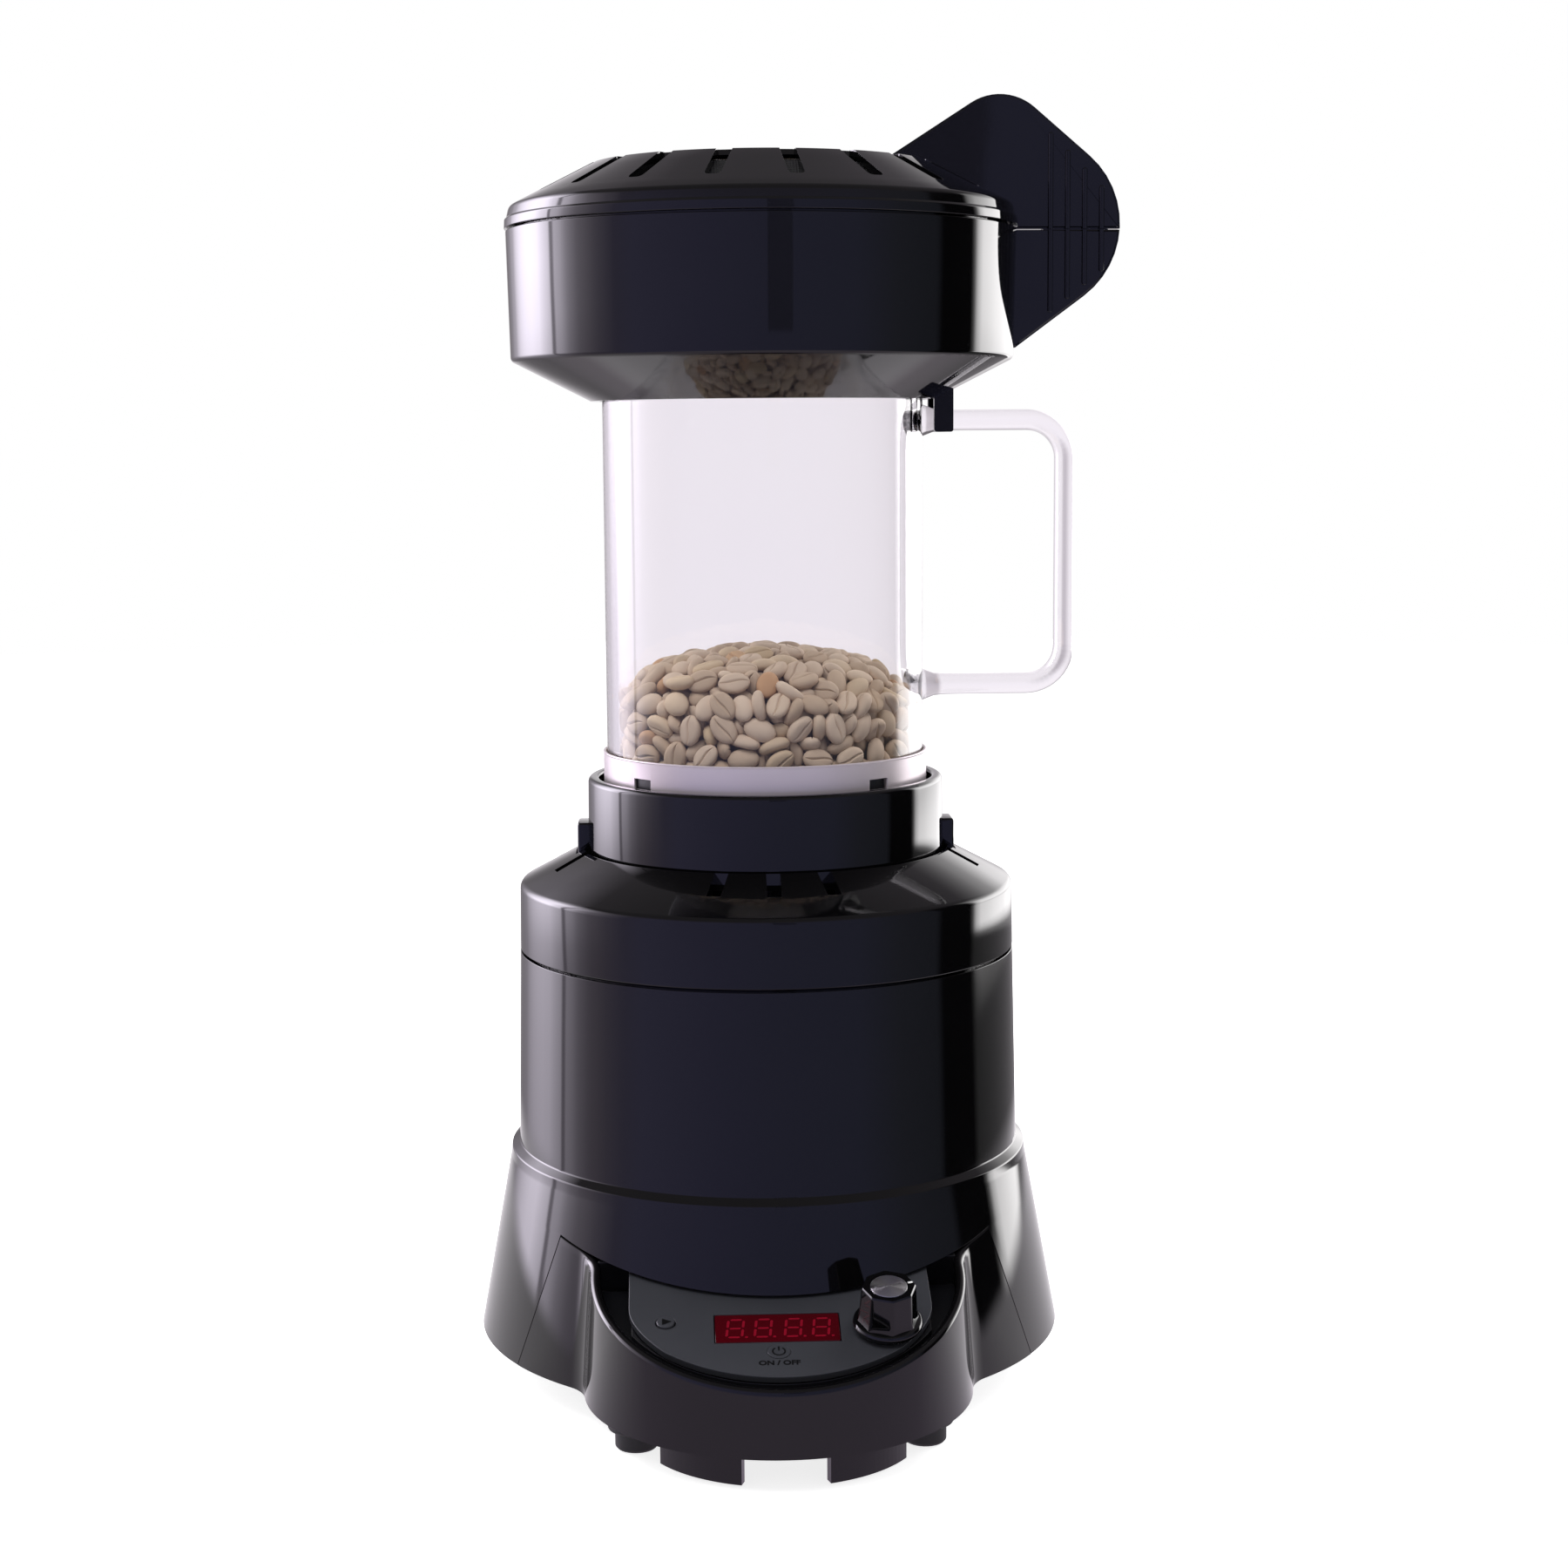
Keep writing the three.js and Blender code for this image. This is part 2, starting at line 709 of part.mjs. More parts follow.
function controlPanel() {
  const flat = new THREE.ExtrudeGeometry(panelOutline, {
    depth: panelThickness,
    bevelEnabled: false,
    curveSegments: innerSteps,
  });
  const sheet = solidOf(flat.translate(0, 0, -panelThickness));
  const windowHole = box(
    windowWidth + 2 * seatGap,
    windowHeight + 2 * seatGap,
    2 * overrun,
    windowX,
    -windowForward,
    0,
  );
  const posts = boardPosts.map(([x, y]) =>
    drum(postRadius, postRadius, seatGap - boardDepth, -panelThickness / 2).translate(x, y, 0),
  );
  return cutBy(
    joined(sheet, ...posts),
    windowHole,
    roundHole(runRadius + seatGap, runX, runForward),
    roundHole(powerRadius + seatGap, powerX, powerForward),
    roundHole(bushingRadius + seatGap, knobX, knobForward),
  );
}

place(panelPlane, "control_panel", controlPanel(), panelGrey);

place(
  panelPlane,
  "display_window",
  box(windowWidth, windowHeight, windowThickness, 0, 0, -windowThickness / 2),
  redWindow,
  windowX,
  -windowForward,
);

const moduleDepth = boardDepth - windowThickness - 2 * seatGap;
place(
  panelPlane,
  "display_module",
  box(windowWidth, windowHeight, moduleDepth, 0, 0, -moduleDepth / 2),
  darkMatte,
  windowX,
  -windowForward,
  -windowThickness - seatGap,
);

// The board is cut round at the front to follow the bulge
function controlBoard() {
  const middle = -(boardFront + boardRear) / 2;
  const sheet = box(boardLength, boardFront - boardRear, boardThickness, 0, middle, -boardThickness / 2);
  return sheet.intersect(drum(boardRadius, boardRadius, -boardThickness, 0, innerSteps));
}

place(panelPlane, "control_board", controlBoard(), boardGreen, 0, 0, -boardDepth);

// Push buttons: a cap in the panel's hole, held from below by its own flange
function button(radius) {
  const flangeTop = -panelThickness - seatGap;
  const flangeFoot = flangeTop - buttonFlangeHeight;
  return turned(
    [
      [0, flangeFoot],
      [radius + buttonFlange, flangeFoot],
      [radius + buttonFlange, flangeTop],
      [radius, flangeTop],
      [radius, 0],
      [radius * Math.SQRT1_2, buttonProud],
      [0, buttonProud],
    ],
    smallSteps,
  );
}

const switchTop = -panelThickness - 2 * seatGap - buttonFlangeHeight - buttonTravel;
function tactSwitch() {
  const height = switchTop + boardDepth - seatGap;
  return box(switchSide, switchSide, height, 0, 0, -height / 2);
}

for (const [name, radius, x, forward] of [
  ["run", runRadius, runX, runForward],
  ["power", powerRadius, powerX, powerForward],
]) {
  place(panelPlane, `${name}_button`, button(radius), panelGrey, x, -forward);
  place(panelPlane, `${name}_switch`, tactSwitch(), darkMatte, x, -forward, switchTop);
}

// Rotary encoder: a body on the board, a plunger that switches, and the spindle the knob sits on

const encoderTop = -panelThickness - seatGap;
const encoderHeight = encoderTop + boardDepth - seatGap;
const spindleFoot = encoderTop - encoderHeight / 2;
const plungerTop = spindleFoot - seatGap;
const encoderFloor = plungerTop - plungerHeight - buttonTravel - seatGap;

function encoderBody() {
  const block = box(encoderSide, encoderSide, encoderHeight, 0, 0, encoderTop - encoderHeight / 2);
  const bushing = drum(bushingRadius, bushingRadius, encoderTop - encoderHeight / 2, bushingRise);
  const bore = drum(spindleRadius + seatGap, spindleRadius + seatGap, encoderFloor, overrun);
  return cutBy(joined(block, bushing), bore);
}

const knobFoot = knobGap + bushingRise;
const spindleTop = knobFoot + spindleHeight;

place(panelPlane, "encoder_body", encoderBody(), steel, knobX, -knobForward);
place(
  panelPlane,
  "encoder_plunger",
  drum(spindleRadius, spindleRadius, plungerTop - plungerHeight, plungerTop),
  darkMatte,
  knobX,
  -knobForward,
);
place(
  panelPlane,
  "encoder_spindle",
  drum(spindleRadius, spindleRadius, spindleFoot, spindleTop),
  steel,
  knobX,
  -knobForward,
);

function knob() {
  const top = knobFoot + knobHeight;
  const flangeTop = knobFoot + knobFlangeHeight;
  const flange = turned(
    [
      [0, knobFoot],
      [knobFlangeRadius, knobFoot],
      [knobFlangeRadius, flangeTop],
      [(knobFlangeRadius + knobFootRadius) / 2, flangeTop + knobFlangeHeight / 2],
      [knobFootRadius - seatGap, flangeTop + knobFlangeHeight],
      [0, flangeTop + knobFlangeHeight],
    ],
    innerSteps,
  );
  const grip = drum(knobFootRadius, knobTopRadius, flangeTop, top, knobSides);
  const bore = drum(spindleRadius + seatGap, spindleRadius + seatGap, -overrun, spindleTop + seatGap);
  const recess = drum(
    discRadius + seatGap,
    discRadius + seatGap,
    top - discHeight - seatGap,
    top + overrun,
    innerSteps,
  );
  return cutBy(joined(flange, grip), bore, recess);
}

place(panelPlane, "knob", knob(), glossBlack, knobX, -knobForward);
place(
  panelPlane,
  "knob_disc",
  drum(discRadius, discRadius, 0, discHeight, innerSteps),
  brushedMetal,
  knobX,
  -knobForward,
  knobFoot + knobHeight - discHeight,
);

// Bottom plate: closes the base from below, with a round intake grille and two curved front legs

function leg(side) {
  const legInner = legRadius - legThickness;
  const from = radians(-90 + side * legInnerAngle);
  const to = radians(-90 + side * legOuterAngle);
  const outline = new THREE.Shape();
  outline.absarc(0, 0, legRadius, from, to, side < 0);
  outline.absarc(0, 0, legInner, to, from, side > 0);
  outline.closePath();
  const wall = new THREE.ExtrudeGeometry(outline, {
    depth: plateFoot + plateThickness / 2 - legClearance,
    bevelEnabled: false,
    curveSegments: 2 * cornerSteps,
  });
  return solidOf(wall.translate(0, -bulgeForward - legAhead, legClearance));
}

function bottomPlate() {
  const insideSkirt = skirtRadiusAt(plateTop) - housingWall - 2 * seatGap;
  const insideBulge = bulgeRadius - bulgeWall - 3 * seatGap;
  const sheet = joined(
    drum(insideSkirt, insideSkirt, plateFoot, plateTop, shellSteps),
    drum(insideBulge, insideBulge, plateFoot, plateTop, shellSteps).translate(0, -bulgeForward, 0),
  );
  const grille = around(intakeCount, 0, (degrees) =>
    box(
      intakeOuter - intakeInner,
      intakeWidth,
      plateThickness + overrun,
      (intakeOuter + intakeInner) / 2,
      0,
      plateFoot,
    ).rotate([0, 0, degrees]),
  );
  const holes = bossPlaces.map(([x, y]) =>
    drum(screwRadius + seatGap, screwRadius + seatGap, skirtBase, plateTop + overrun).translate(x, y, 0),
  );
  return cutBy(joined(sheet, leg(-1), leg(1)), ...grille, ...holes);
}

place(machine, "bottom_plate", bottomPlate(), glossBlack);

bossPlaces.forEach(([x, y], i) => {
  const screw = joined(
    drum(screwHeadRadius, screwHeadRadius, -screwHeadHeight, 0),
    drum(screwRadius, screwRadius, -screwHeadHeight / 2, screwLength),
  );
  place(machine, `plate_screw_${i + 1}`, screw, steel, x, y, plateFoot - seatGap);
});

// Rubber feet: stepped buttons under the plate
function foot() {
  const height = plateFoot - seatGap;
  return turned(
    [
      [0, 0],
      [footTipRadius - edgeRound, 0],
      [footTipRadius, edgeRound],
      [footTipRadius, footStepRise],
      [footRadius, footStepRise + edgeRound],
      [footRadius, height],
      [0, height],
    ],
    smallSteps,
  );
}

const frontFootForward = bulgeForward + frontFootAhead;
const sideFootX = skirtRadius - sideFootInset;
const footPlaces = {
  foot_front_left: [-frontFootX, -frontFootForward],
  foot_front_right: [frontFootX, -frontFootForward],
  foot_side_left: [-sideFootX, sideFootBack],
  foot_side_right: [sideFootX, sideFootBack],
  foot_rear: [0, skirtRadius - rearFootInset],
};
for (const [name, [x, y]] of Object.entries(footPlaces)) {
  place(machine, name, foot(), rubberBlack, x, y);
}

// Cord inlet: a bushing through the rear of the skirt
const inletFlangeTop = seatGap + inletFlangeDepth;
const inletShape = cutBy(
  joined(
    drum(inletRadius, inletRadius, -inletLength, inletFlangeTop),
    drum(inletFlangeRadius, inletFlangeRadius - inletFlangeDepth / 2, seatGap, inletFlangeTop),
  ),
  drum(inletBore, inletBore, -inletLength - overrun, overrun),
);
place(machine, "cord_inlet", squareToSkirt(inletShape), rubberBlack);

// Top cap

const capInner = bodyTopRadius - housingWall;

function topCap() {
  const coneWall = capWall / Math.cos(Math.atan(shoulderSlopeShare));
  const seatFoot = collarSeat - capWall;
  const seatOuter = shoulderInner + shoulderDrop;
  const tongueRadius = capInner - seatGap;
  const innerWallTop = capWallTop - capWall / 2;
  const coneFootInside = capInner - capRound;
  const heightInside = (radius) =>
    shoulderFoot + (shoulderOuter - radius) * shoulderSlopeShare - coneWall;
  const shell = turned([
    [tongueRadius - tongueWall, capFoot - tongueDepth],
    [tongueRadius, capFoot - tongueDepth],
    [tongueRadius, capFoot],
    [bodyTopRadius, capFoot],
    [capTopRadius, capWallTop],
    [capTopRadius - capRound / 4, capWallTop + capRound * capRoundShare],
    [shoulderOuter, shoulderFoot],
    [shoulderInner, shoulderTop],
    [shoulderInner - edgeRound / 2, collarSeat],
    [capOpening, collarSeat],
    [capOpening, seatFoot],
    [seatOuter, seatFoot],
    [coneFootInside, heightInside(coneFootInside)],
    [capInner - tongueWall, innerWallTop - capWall],
    [tongueRadius - tongueWall, capFoot],
  ]);
  const vents = ventAngles.map((degrees) =>
    box(
      ventLength,
      ventWidth,
      2 * shoulderDrop + 4 * capWall,
      shoulderInner + ventLength / 2 + seatGap,
      0,
      shoulderTop - shoulderDrop / 2,
    ).rotate([0, 0, degrees]),
  );
  const notchReach = collarRadius + lugReach + lugClearance;
  const notch = box(
    2 * notchReach,
    lugWidth + 2 * lugClearance,
    shoulderDrop + overrun,
    0,
    0,
    collarSeat + (shoulderDrop + overrun) / 2,
  );
  return cutBy(shell, ...vents, notch);
}

place(machine, "top_cap", topCap(), glossBlack);

// Chamber collar with its two side lugs

function chamberCollar() {
  const round = edgeRound / 2;
  const ring = turned([
    [collarOpening, 0],
    [collarRadius, 0],
    [collarRadius - seatGap, collarRise - edgeRound],
    [collarRadius - edgeRound, collarRise],
    [collarInner + round, collarRise],
    [collarInner, collarRise - round],
    [collarInner, collarShelf],
    [collarOpening, collarShelf],
  ]);
  const lugs = [-1, 1].map((side) => {
    const inWall = collarWall / 2;
    const lug = roundedOutline([
      [-inWall, 0, 0],
      [lugReach, 0, round],
      [lugReach, lugRise, round],
      [-inWall, lugRise, 0],
    ]);
    const flat = new THREE.ExtrudeGeometry(lug, {
      depth: lugWidth,
      bevelEnabled: false,
      curveSegments: 2,
    });
    flat.rotateX(Math.PI / 2).translate(collarRadius, lugWidth / 2, lugFoot);
    if (side < 0) flat.rotateZ(Math.PI);
    return solidOf(flat);
  });
  return joined(ring, ...lugs);
}

place(machine, "chamber_collar", chamberCollar(), glossBlack, 0, 0, collarFoot);

place(
  machine,
  "seat_gasket",
  turned(
    [
      [collarOpening, 0],
      [collarInner - seatGap, 0],
      [collarInner - seatGap, seatGasketHeight],
      [collarOpening, seatGasketHeight],
    ],
    innerSteps,
  ),
  seal,
  0,
  0,
  collarFoot + collarShelf + seatGap,
);

// Roasting chamber

const chamber = groupAt(machine, 0, 0, chamberFoot);

function chamberBand() {
  const opening = bandRadius - bandFlangeWidth;
  const ring = turned([
    [opening, 0],
    [bandRadius - bandWall / 2, 0],
    [bandRadius, bandWall / 2],
    [bandRadius, bandRise],
    [bandInner, bandRise],
    [bandInner, bandFlange],
    [opening, bandFlange],
  ]);
  const notches = around(4, 45, (degrees) =>
    box(
      2 * overrun,
      notchWidth,
      notchHeight,
      bandRadius,
      0,
      bandRise - notchBelowRim - notchHeight / 2,
    ).rotate([0, 0, degrees]),
  );
  return cutBy(ring, ...notches);
}

place(chamber, "chamber_band", chamberBand(), paleMetal);

function diffuser() {
  const outer = bandInner - seatGap;
  const inner = outer - diffuserWall;
  const pan = turned(
    [
      [inner, 0],
      [outer, 0],
      [outer, diffuserRise],
      [0, diffuserRise],
      [0, diffuserRise - diffuserWall],
      [inner, diffuserRise - diffuserWall],
    ],
    shellSteps,
  );
  const slotReach = glassInner - blowSlotMargin;
  const slotLength = slotReach / 2;
  const slots = around(blowSlotCount, 0, (degrees) =>
    box(
      slotLength,
      blowSlotWidth,
      overrun,
      slotReach - slotLength / 2,
      0,
      diffuserRise,
    ).rotate([0, 0, degrees]),
  );
  return cutBy(pan, ...slots);
}

place(chamber, "air_diffuser", diffuser(), steel, 0, 0, bandFlange + seatGap);

place(
  chamber,
  "glass_gasket",
  turned(
    [
      [glassInner, 0],
      [glassRadius, 0],
      [glassRadius, gasketHeight],
      [glassInner, gasketHeight],
    ],
    innerSteps,
  ),
  seal,
  0,
  0,
  diffuserTop + seatGap,
);

// The jug: a straight tube with a rod handle fused on, all one piece of glass
function glassJug() {
  const rim = glassWall / 4;
  const tube = turned([
    [glassInner, 0],
    [glassRadius, 0],
    [glassRadius, glassLength - rim],
    [glassRadius - rim, glassLength],
    [glassInner + rim, glassLength],
    [glassInner, glassLength - rim],
  ]);
  const inside = drum(glassInner, glassInner, -overrun, glassLength + overrun, shellSteps);
  const topArm = glassLength - handleBelowRim;
  const lowArm = topArm - handleDrop;
  const outer = glassRadius + handleReach;
  const corner = handleCornerRadius;
  const root = glassInner;
  const path = new THREE.CurvePath();
  const at = (x, z) => new THREE.Vector3(x, 0, z);
  path.add(new THREE.LineCurve3(at(root, topArm), at(outer - corner, topArm)));
  path.add(
    new THREE.QuadraticBezierCurve3(
      at(outer - corner, topArm),
      at(outer, topArm),
      at(outer, topArm - corner),
    ),
  );
  path.add(new THREE.LineCurve3(at(outer, topArm - corner), at(outer, lowArm + corner)));
  path.add(
    new THREE.QuadraticBezierCurve3(
      at(outer, lowArm + corner),
      at(outer, lowArm),
      at(outer - corner, lowArm),
    ),
  );
  path.add(new THREE.LineCurve3(at(outer - corner, lowArm), at(root, lowArm)));
  const section = new THREE.Shape();
  section.absellipse(0, 0, handleThickness / 2, handleWidth / 2, 0, 2 * Math.PI, false, 0);
  const rod = new THREE.ExtrudeGeometry(section, {
    extrudePath: path,
    steps: 10 * cornerSteps,
    curveSegments: smallSteps / 4,
  });
  return joined(tube, solidOf(rod).subtract(inside));
}

place(chamber, "glass_jug", glassJug(), clearGlass, 0, 0, glassFoot);

// Beans lie heaped on the perforated base and against the glass. Those that show stand out of
// the heap one by one, in rows up its side and over its top, each turned its own way.
const heapLine = [
  [heapRadius, 0],
  [heapRadius, heapWallRise],
  [heapRadius * heapShoulderShare, (heapWallRise + heapRise) / 2],
  [heapRadius * heapSlopeShare, (heapWallRise + 3 * heapRise) / 4],
  [0, heapRise],
];

// A share from 0 to 1 that jumps about from one number to the next and is always the same.
function scattered(number) {
  const wave = Math.sin(number * scatterStep) * scatterSpread;
  return wave - Math.floor(wave);
}

// A bean that touches the heap's outline from inside, at a point with the given slope, and
// stays clear of the glass.
function bean(number, point, slope, turn) {
  const lean = radians(beanLean) * (scattered(number + 0.5) - 0.5);
  const pose = new THREE.Matrix4()
    .makeRotationY(slope)
    .multiply(new THREE.Matrix4().makeRotationZ(Math.PI * scattered(number + 0.25)))
    .multiply(new THREE.Matrix4().makeRotationX(lean))
    .scale(new THREE.Vector3(beanLength / 2, beanWidth / 2, beanThickness / 2));
  const halfSizes = new THREE.Matrix3().setFromMatrix4(pose).transpose();
  const reach = (direction) => direction.clone().applyMatrix3(halfSizes).length();
  const outward = new THREE.Vector3(Math.sin(slope), 0, Math.cos(slope));
  const middle = new THREE.Vector3(point.x, 0, point.y).addScaledVector(outward, -reach(outward));
  middle.x = Math.min(middle.x, heapRadius - reach(new THREE.Vector3(1, 0, 0)));
  pose.setPosition(middle).premultiply(new THREE.Matrix4().makeRotationZ(turn));
  return solidOf(new THREE.IcosahedronGeometry(1).applyMatrix4(pose));
}

function beanHeap() {
  const line = new THREE.Path(heapLine.map(([radius, height]) => new THREE.Vector2(radius, height)));
  const length = line.getLength();
  const firstRow = beanLength / 2;
  const rows = Math.round((length - firstRow) / beanRowPitch);
  const beans = [];
  for (let row = 0; row < rows; row += 1) {
    const rowShare = (firstRow + ((row + 0.5) * (length - firstRow)) / rows) / length;
    const count = Math.round((2 * Math.PI * line.getPoint(rowShare).x) / beanPitch);
    for (let i = 0; i < count; i += 1) {
      const number = beans.length;
      const share = rowShare + (beanStray / length) * (scattered(number + 0.75) - 0.5);
      const point = line.getPoint(share);
      const along = line.getTangent(share);
      const slope = Math.atan2(along.y, -along.x);
      const aside = (beanStray / point.x) * (scattered(number) - 0.5);
      const turn = (2 * Math.PI * (i + (row % 2) / 2)) / count + aside;
      beans.push(bean(number, point, slope, turn));
    }
  }
  const inset = beanThickness * beanSunkShare;
  const within = heapLine.map(([radius, height]) => [
    Math.max(radius - inset, 0),
    Math.max(height - inset, 0),
  ]);
  return joined(turned([[0, 0], ...within], innerSteps), ...beans);
}

place(chamber, "bean_charge", beanHeap(), beanTan, 0, 0, diffuserTop + seatGap);

// Chaff collector

const collector = groupAt(machine, 0, 0, collectorFoot);

const coneSlopeShare = coneRise / (collectorRadius - socketRadius);
const ribs = Array.from({ length: ribCount }, (_, i) => ({
  x: collectorRimRadius + ribFirst + i * ribPitch,
  top: ribTopRise - i * ribTopStep,
  foot: -ribFootDrop + i * ribFootStep,
}));

// The whole grip plate with its ribs, with height zero at the bowl's rim.
function gripPlate() {
  const rim = collectorRimRadius;
  const upper = Math.atan(gripUpperShare);
  const lower = Math.atan(gripLowerShare);
  const toCentre = gripNoseRadius / Math.sin((upper + lower) / 2);
  const nose = gripReach + toCentre * Math.cos((upper - lower) / 2) - gripNoseRadius;
  const peakRise = gripNoseRise + (nose + gripPeakInset) * gripUpperShare;
  const footDrop = nose * gripLowerShare - gripNoseRise;
  const outline = roundedOutline([
    [rim - gripRootInset, gripRootRise, 0],
    [rim - gripRootInset, 0, 0],
    [rim - collectorWall, 0, 0],
    [rim - collectorWall, -footDrop, 0],
    [rim, -footDrop, 0],
    [rim + nose, gripNoseRise, gripNoseRadius],
    [rim - gripPeakInset, peakRise, gripPeakRadius],
  ]);
  const bevel = edgeRound / 2;
  const flat = new THREE.ExtrudeGeometry(outline, {
    depth: gripThickness - 2 * bevel,
    bevelThickness: bevel,
    bevelSize: bevel,
    bevelOffset: -bevel,
    bevelSegments: 1,
    curveSegments: 2 * cornerSteps,
  });
  flat.translate(0, 0, bevel - gripThickness / 2).rotateX(Math.PI / 2);
  const bars = ribs.map(({ x, top, foot }) =>
    box(ribWidth, gripThickness + 2 * ribProud, top - foot, x, 0, (top + foot) / 2),
  );
  return joined(solidOf(flat), ...bars);
}

function slab(foot, top) {
  return box(
    4 * noseReach,
    4 * noseReach,
    top - foot,
    0,
    0,
    (foot + top) / 2,
  );
}

const throatInner = throatRadius - collectorWall;
const throatFoot = socketRoof + collectorWall;

function collectorBody() {
  const round = edgeRound;
  const floorRise = collectorWall / Math.cos(Math.atan(coneSlopeShare));
  const inner = collectorRimRadius - collectorWall;
  const innerFoot = collectorRadius - collectorWall;
  const troughRadius = socketRadius + 2 * collectorWall;
  const troughFloor = (troughRadius - socketRadius) * coneSlopeShare + floorRise;
  const outside = turned([
    [socketInner, 0],
    [socketRadius, 0],
    [collectorRadius - round, coneRise - round * coneSlopeShare],
    [collectorRadius, coneRise + round],
    [collectorRimRadius, collectorTop],
    [inner, collectorTop],
    [innerFoot, coneRise + floorRise + round],
    [innerFoot - round, coneRise + floorRise - round * coneSlopeShare],
    [troughRadius, troughFloor],
    [socketRadius, troughFloor],
    [socketRadius, throatFoot],
    [throatInner, throatFoot],
    [throatInner, socketRoof],
    [socketInner, socketRoof],
  ]);
  const grip = gripPlate()
    .translate(0, 0, collectorTop)
    .intersect(slab(-overrun, collectorTop));
  const beyondWall = cutBy(
    grip,
    drum(innerFoot + round, inner + round, 0, collectorTop + overrun, shellSteps),
  );
  const tines = [-1, 1].map((side) => {
    const y = side * (handleWidth / 2 + forkGap + forkTineThickness / 2);
    const height = forkTineDrop + troughFloor - collectorWall / 2;
    const x = socketRadius + forkTineWidth / 2 - seatGap;
    return box(forkTineWidth, forkTineThickness, height, x, y, height / 2 - forkTineDrop);
  });
  return joined(outside, beyondWall, ...tines);
}

place(collector, "collector_body", collectorBody(), glossBlack);

// Throat: a short tube on the bowl's floor, which the chaff rises through and then can't fall back
place(
  collector,
  "collector_throat",
  turned(
    [
      [throatInner, throatFoot + seatGap],
      [throatRadius, throatFoot + seatGap],
      [throatRadius, throatFoot + throatRise],
      [throatInner, throatFoot + throatRise],
    ],
    shellSteps,
  ),
  glossBlack,
);

place(
  collector,
  "collector_seal",
  turned(
    [
      [glassInner, 0],
      [glassRadius, 0],
      [glassRadius, sealHeight],
      [glassInner, sealHeight],
    ],
    innerSteps,
  ),
  seal,
  0,
  0,
  socketDepth + seatGap,
);

// Lid with its slots and the upper half of the grip

// A slot this close to the grip would break into it, and is left out.
function besideGrip(degrees) {
  const aside = lidTopRadius * Math.sin(radians(degrees));
  const ahead = Math.cos(radians(degrees)) > 0;
  return ahead && Math.abs(aside) < (gripThickness + lidSlotWidth) / 2;
}

const lid = groupAt(machine, 0, 0, lidFoot);
const lidRimRadius = collectorRimRadius + lidRimReach;
const lidShoulder = lidRimRise + lidWallRise;
const lidShoulderRadius = collectorRimRadius - lidRound;
const lidTop = lidShoulder + lidConeRise;
const lidSlopeShare = lidConeRise / (lidShoulderRadius - lidRound - lidTopRadius);
const lidInner = collectorRimRadius - collectorWall - 2 * seatGap;
const lidConeWall = lidWall / Math.cos(Math.atan(lidSlopeShare));
const lidDishRadius = lidTopRadius - 2 * lidRound;

// Underside of the lid's cone and roof, lowered by a drop.
function lidHollow(drop) {
  const outerRadius = lidInner - lidTongueWall;
  const heightAt = (radius) =>
    lidShoulder + (lidShoulderRadius - lidRound - radius) * lidSlopeShare - lidConeWall - drop;
  const roof = lidTop - lidDish - lidWall - drop;
  const inward = (roof + lidConeWall + drop - lidShoulder) / lidSlopeShare;
  const roofRadius = lidShoulderRadius - lidRound - inward;
  return [
    [outerRadius, heightAt(outerRadius)],
    [roofRadius, roof],
  ];
}

function collectorLid() {
  const [wallPoint, roofPoint] = lidHollow(0);
  const foot = -lidGap - lidTongue;
  const full = turned([
    [0, foot],
    [lidInner, foot],
    [lidInner, 0],
    [lidRimRadius, 0],
    [lidRimRadius, lidRimRise],
    [collectorRimRadius - seatGap, lidRimRise + seatGap],
    [lidShoulderRadius, lidShoulder - lidRound / 2],
    [lidShoulderRadius - lidRound, lidShoulder + lidRound / 4],
    [lidTopRadius, lidTop - lidRound / 2],
    [lidTopRadius - lidRound, lidTop],
    [lidDishRadius, lidTop],
    [lidDishRadius - lidDish, lidTop - lidDish],
    [0, lidTop - lidDish],
  ]);
  const grip = gripPlate().translate(0, 0, -lidGap).intersect(slab(0, noseReach));
  const hollow = turned([
    [0, foot - overrun],
    [wallPoint[0], foot - overrun],
    wallPoint,
    roofPoint,
    [0, roofPoint[1]],
  ]);
  const slotMiddle = lidTopRadius - lidRound + lidSlotLength / 2;
  const slots = around(lidSlotCount, lidSlotAngle, (degrees) => degrees)
    .filter((degrees) => !besideGrip(degrees))
    .map((degrees) =>
      box(lidSlotLength, lidSlotWidth, 2 * lidTop, slotMiddle, 0, lidTop + lidRimRise).rotate([
        0,
        0,
        degrees,
      ]),
    );
  return cutBy(joined(full, grip), hollow, ...slots);
}

place(lid, "collector_lid", collectorLid(), glossBlack);

// Chaff screen: a fine metal cone right under the slots
function chaffScreen() {
  const [outerTop, innerTop] = lidHollow(seatGap);
  const [outerFoot, innerFoot] = lidHollow(seatGap + screenWall);
  return turned([
    [outerFoot[0] - seatGap, outerFoot[1]],
    [outerTop[0] - seatGap, outerTop[1]],
    innerTop,
    [innerFoot[0], innerFoot[1]],
  ]);
}

place(lid, "chaff_screen", chaffScreen(), steel);

// Deflector: a shallow metal dish hung over the throat
const lidRoof = lidHollow(seatGap)[1][1];
const deflectorFoot = collectorFoot + throatFoot + throatRise + deflectorGap - lidFoot;
place(
  lid,
  "chaff_deflector",
  turned(
    [
      [0, deflectorFoot + deflectorRise - deflectorWall],
      [deflectorRadius, deflectorFoot],
      [deflectorRadius, deflectorFoot + deflectorWall],
      [deflectorStemRadius, deflectorFoot + deflectorRise],
      [deflectorStemRadius, lidRoof],
      [0, lidRoof],
    ],
    innerSteps,
  ),
  steel,
);

// Blower in the foot of the base

const interior = collarSeat - plateTop;
const blowerFoot = plateTop + seatGap;
const blowerTop = blowerFoot + blowerRise;

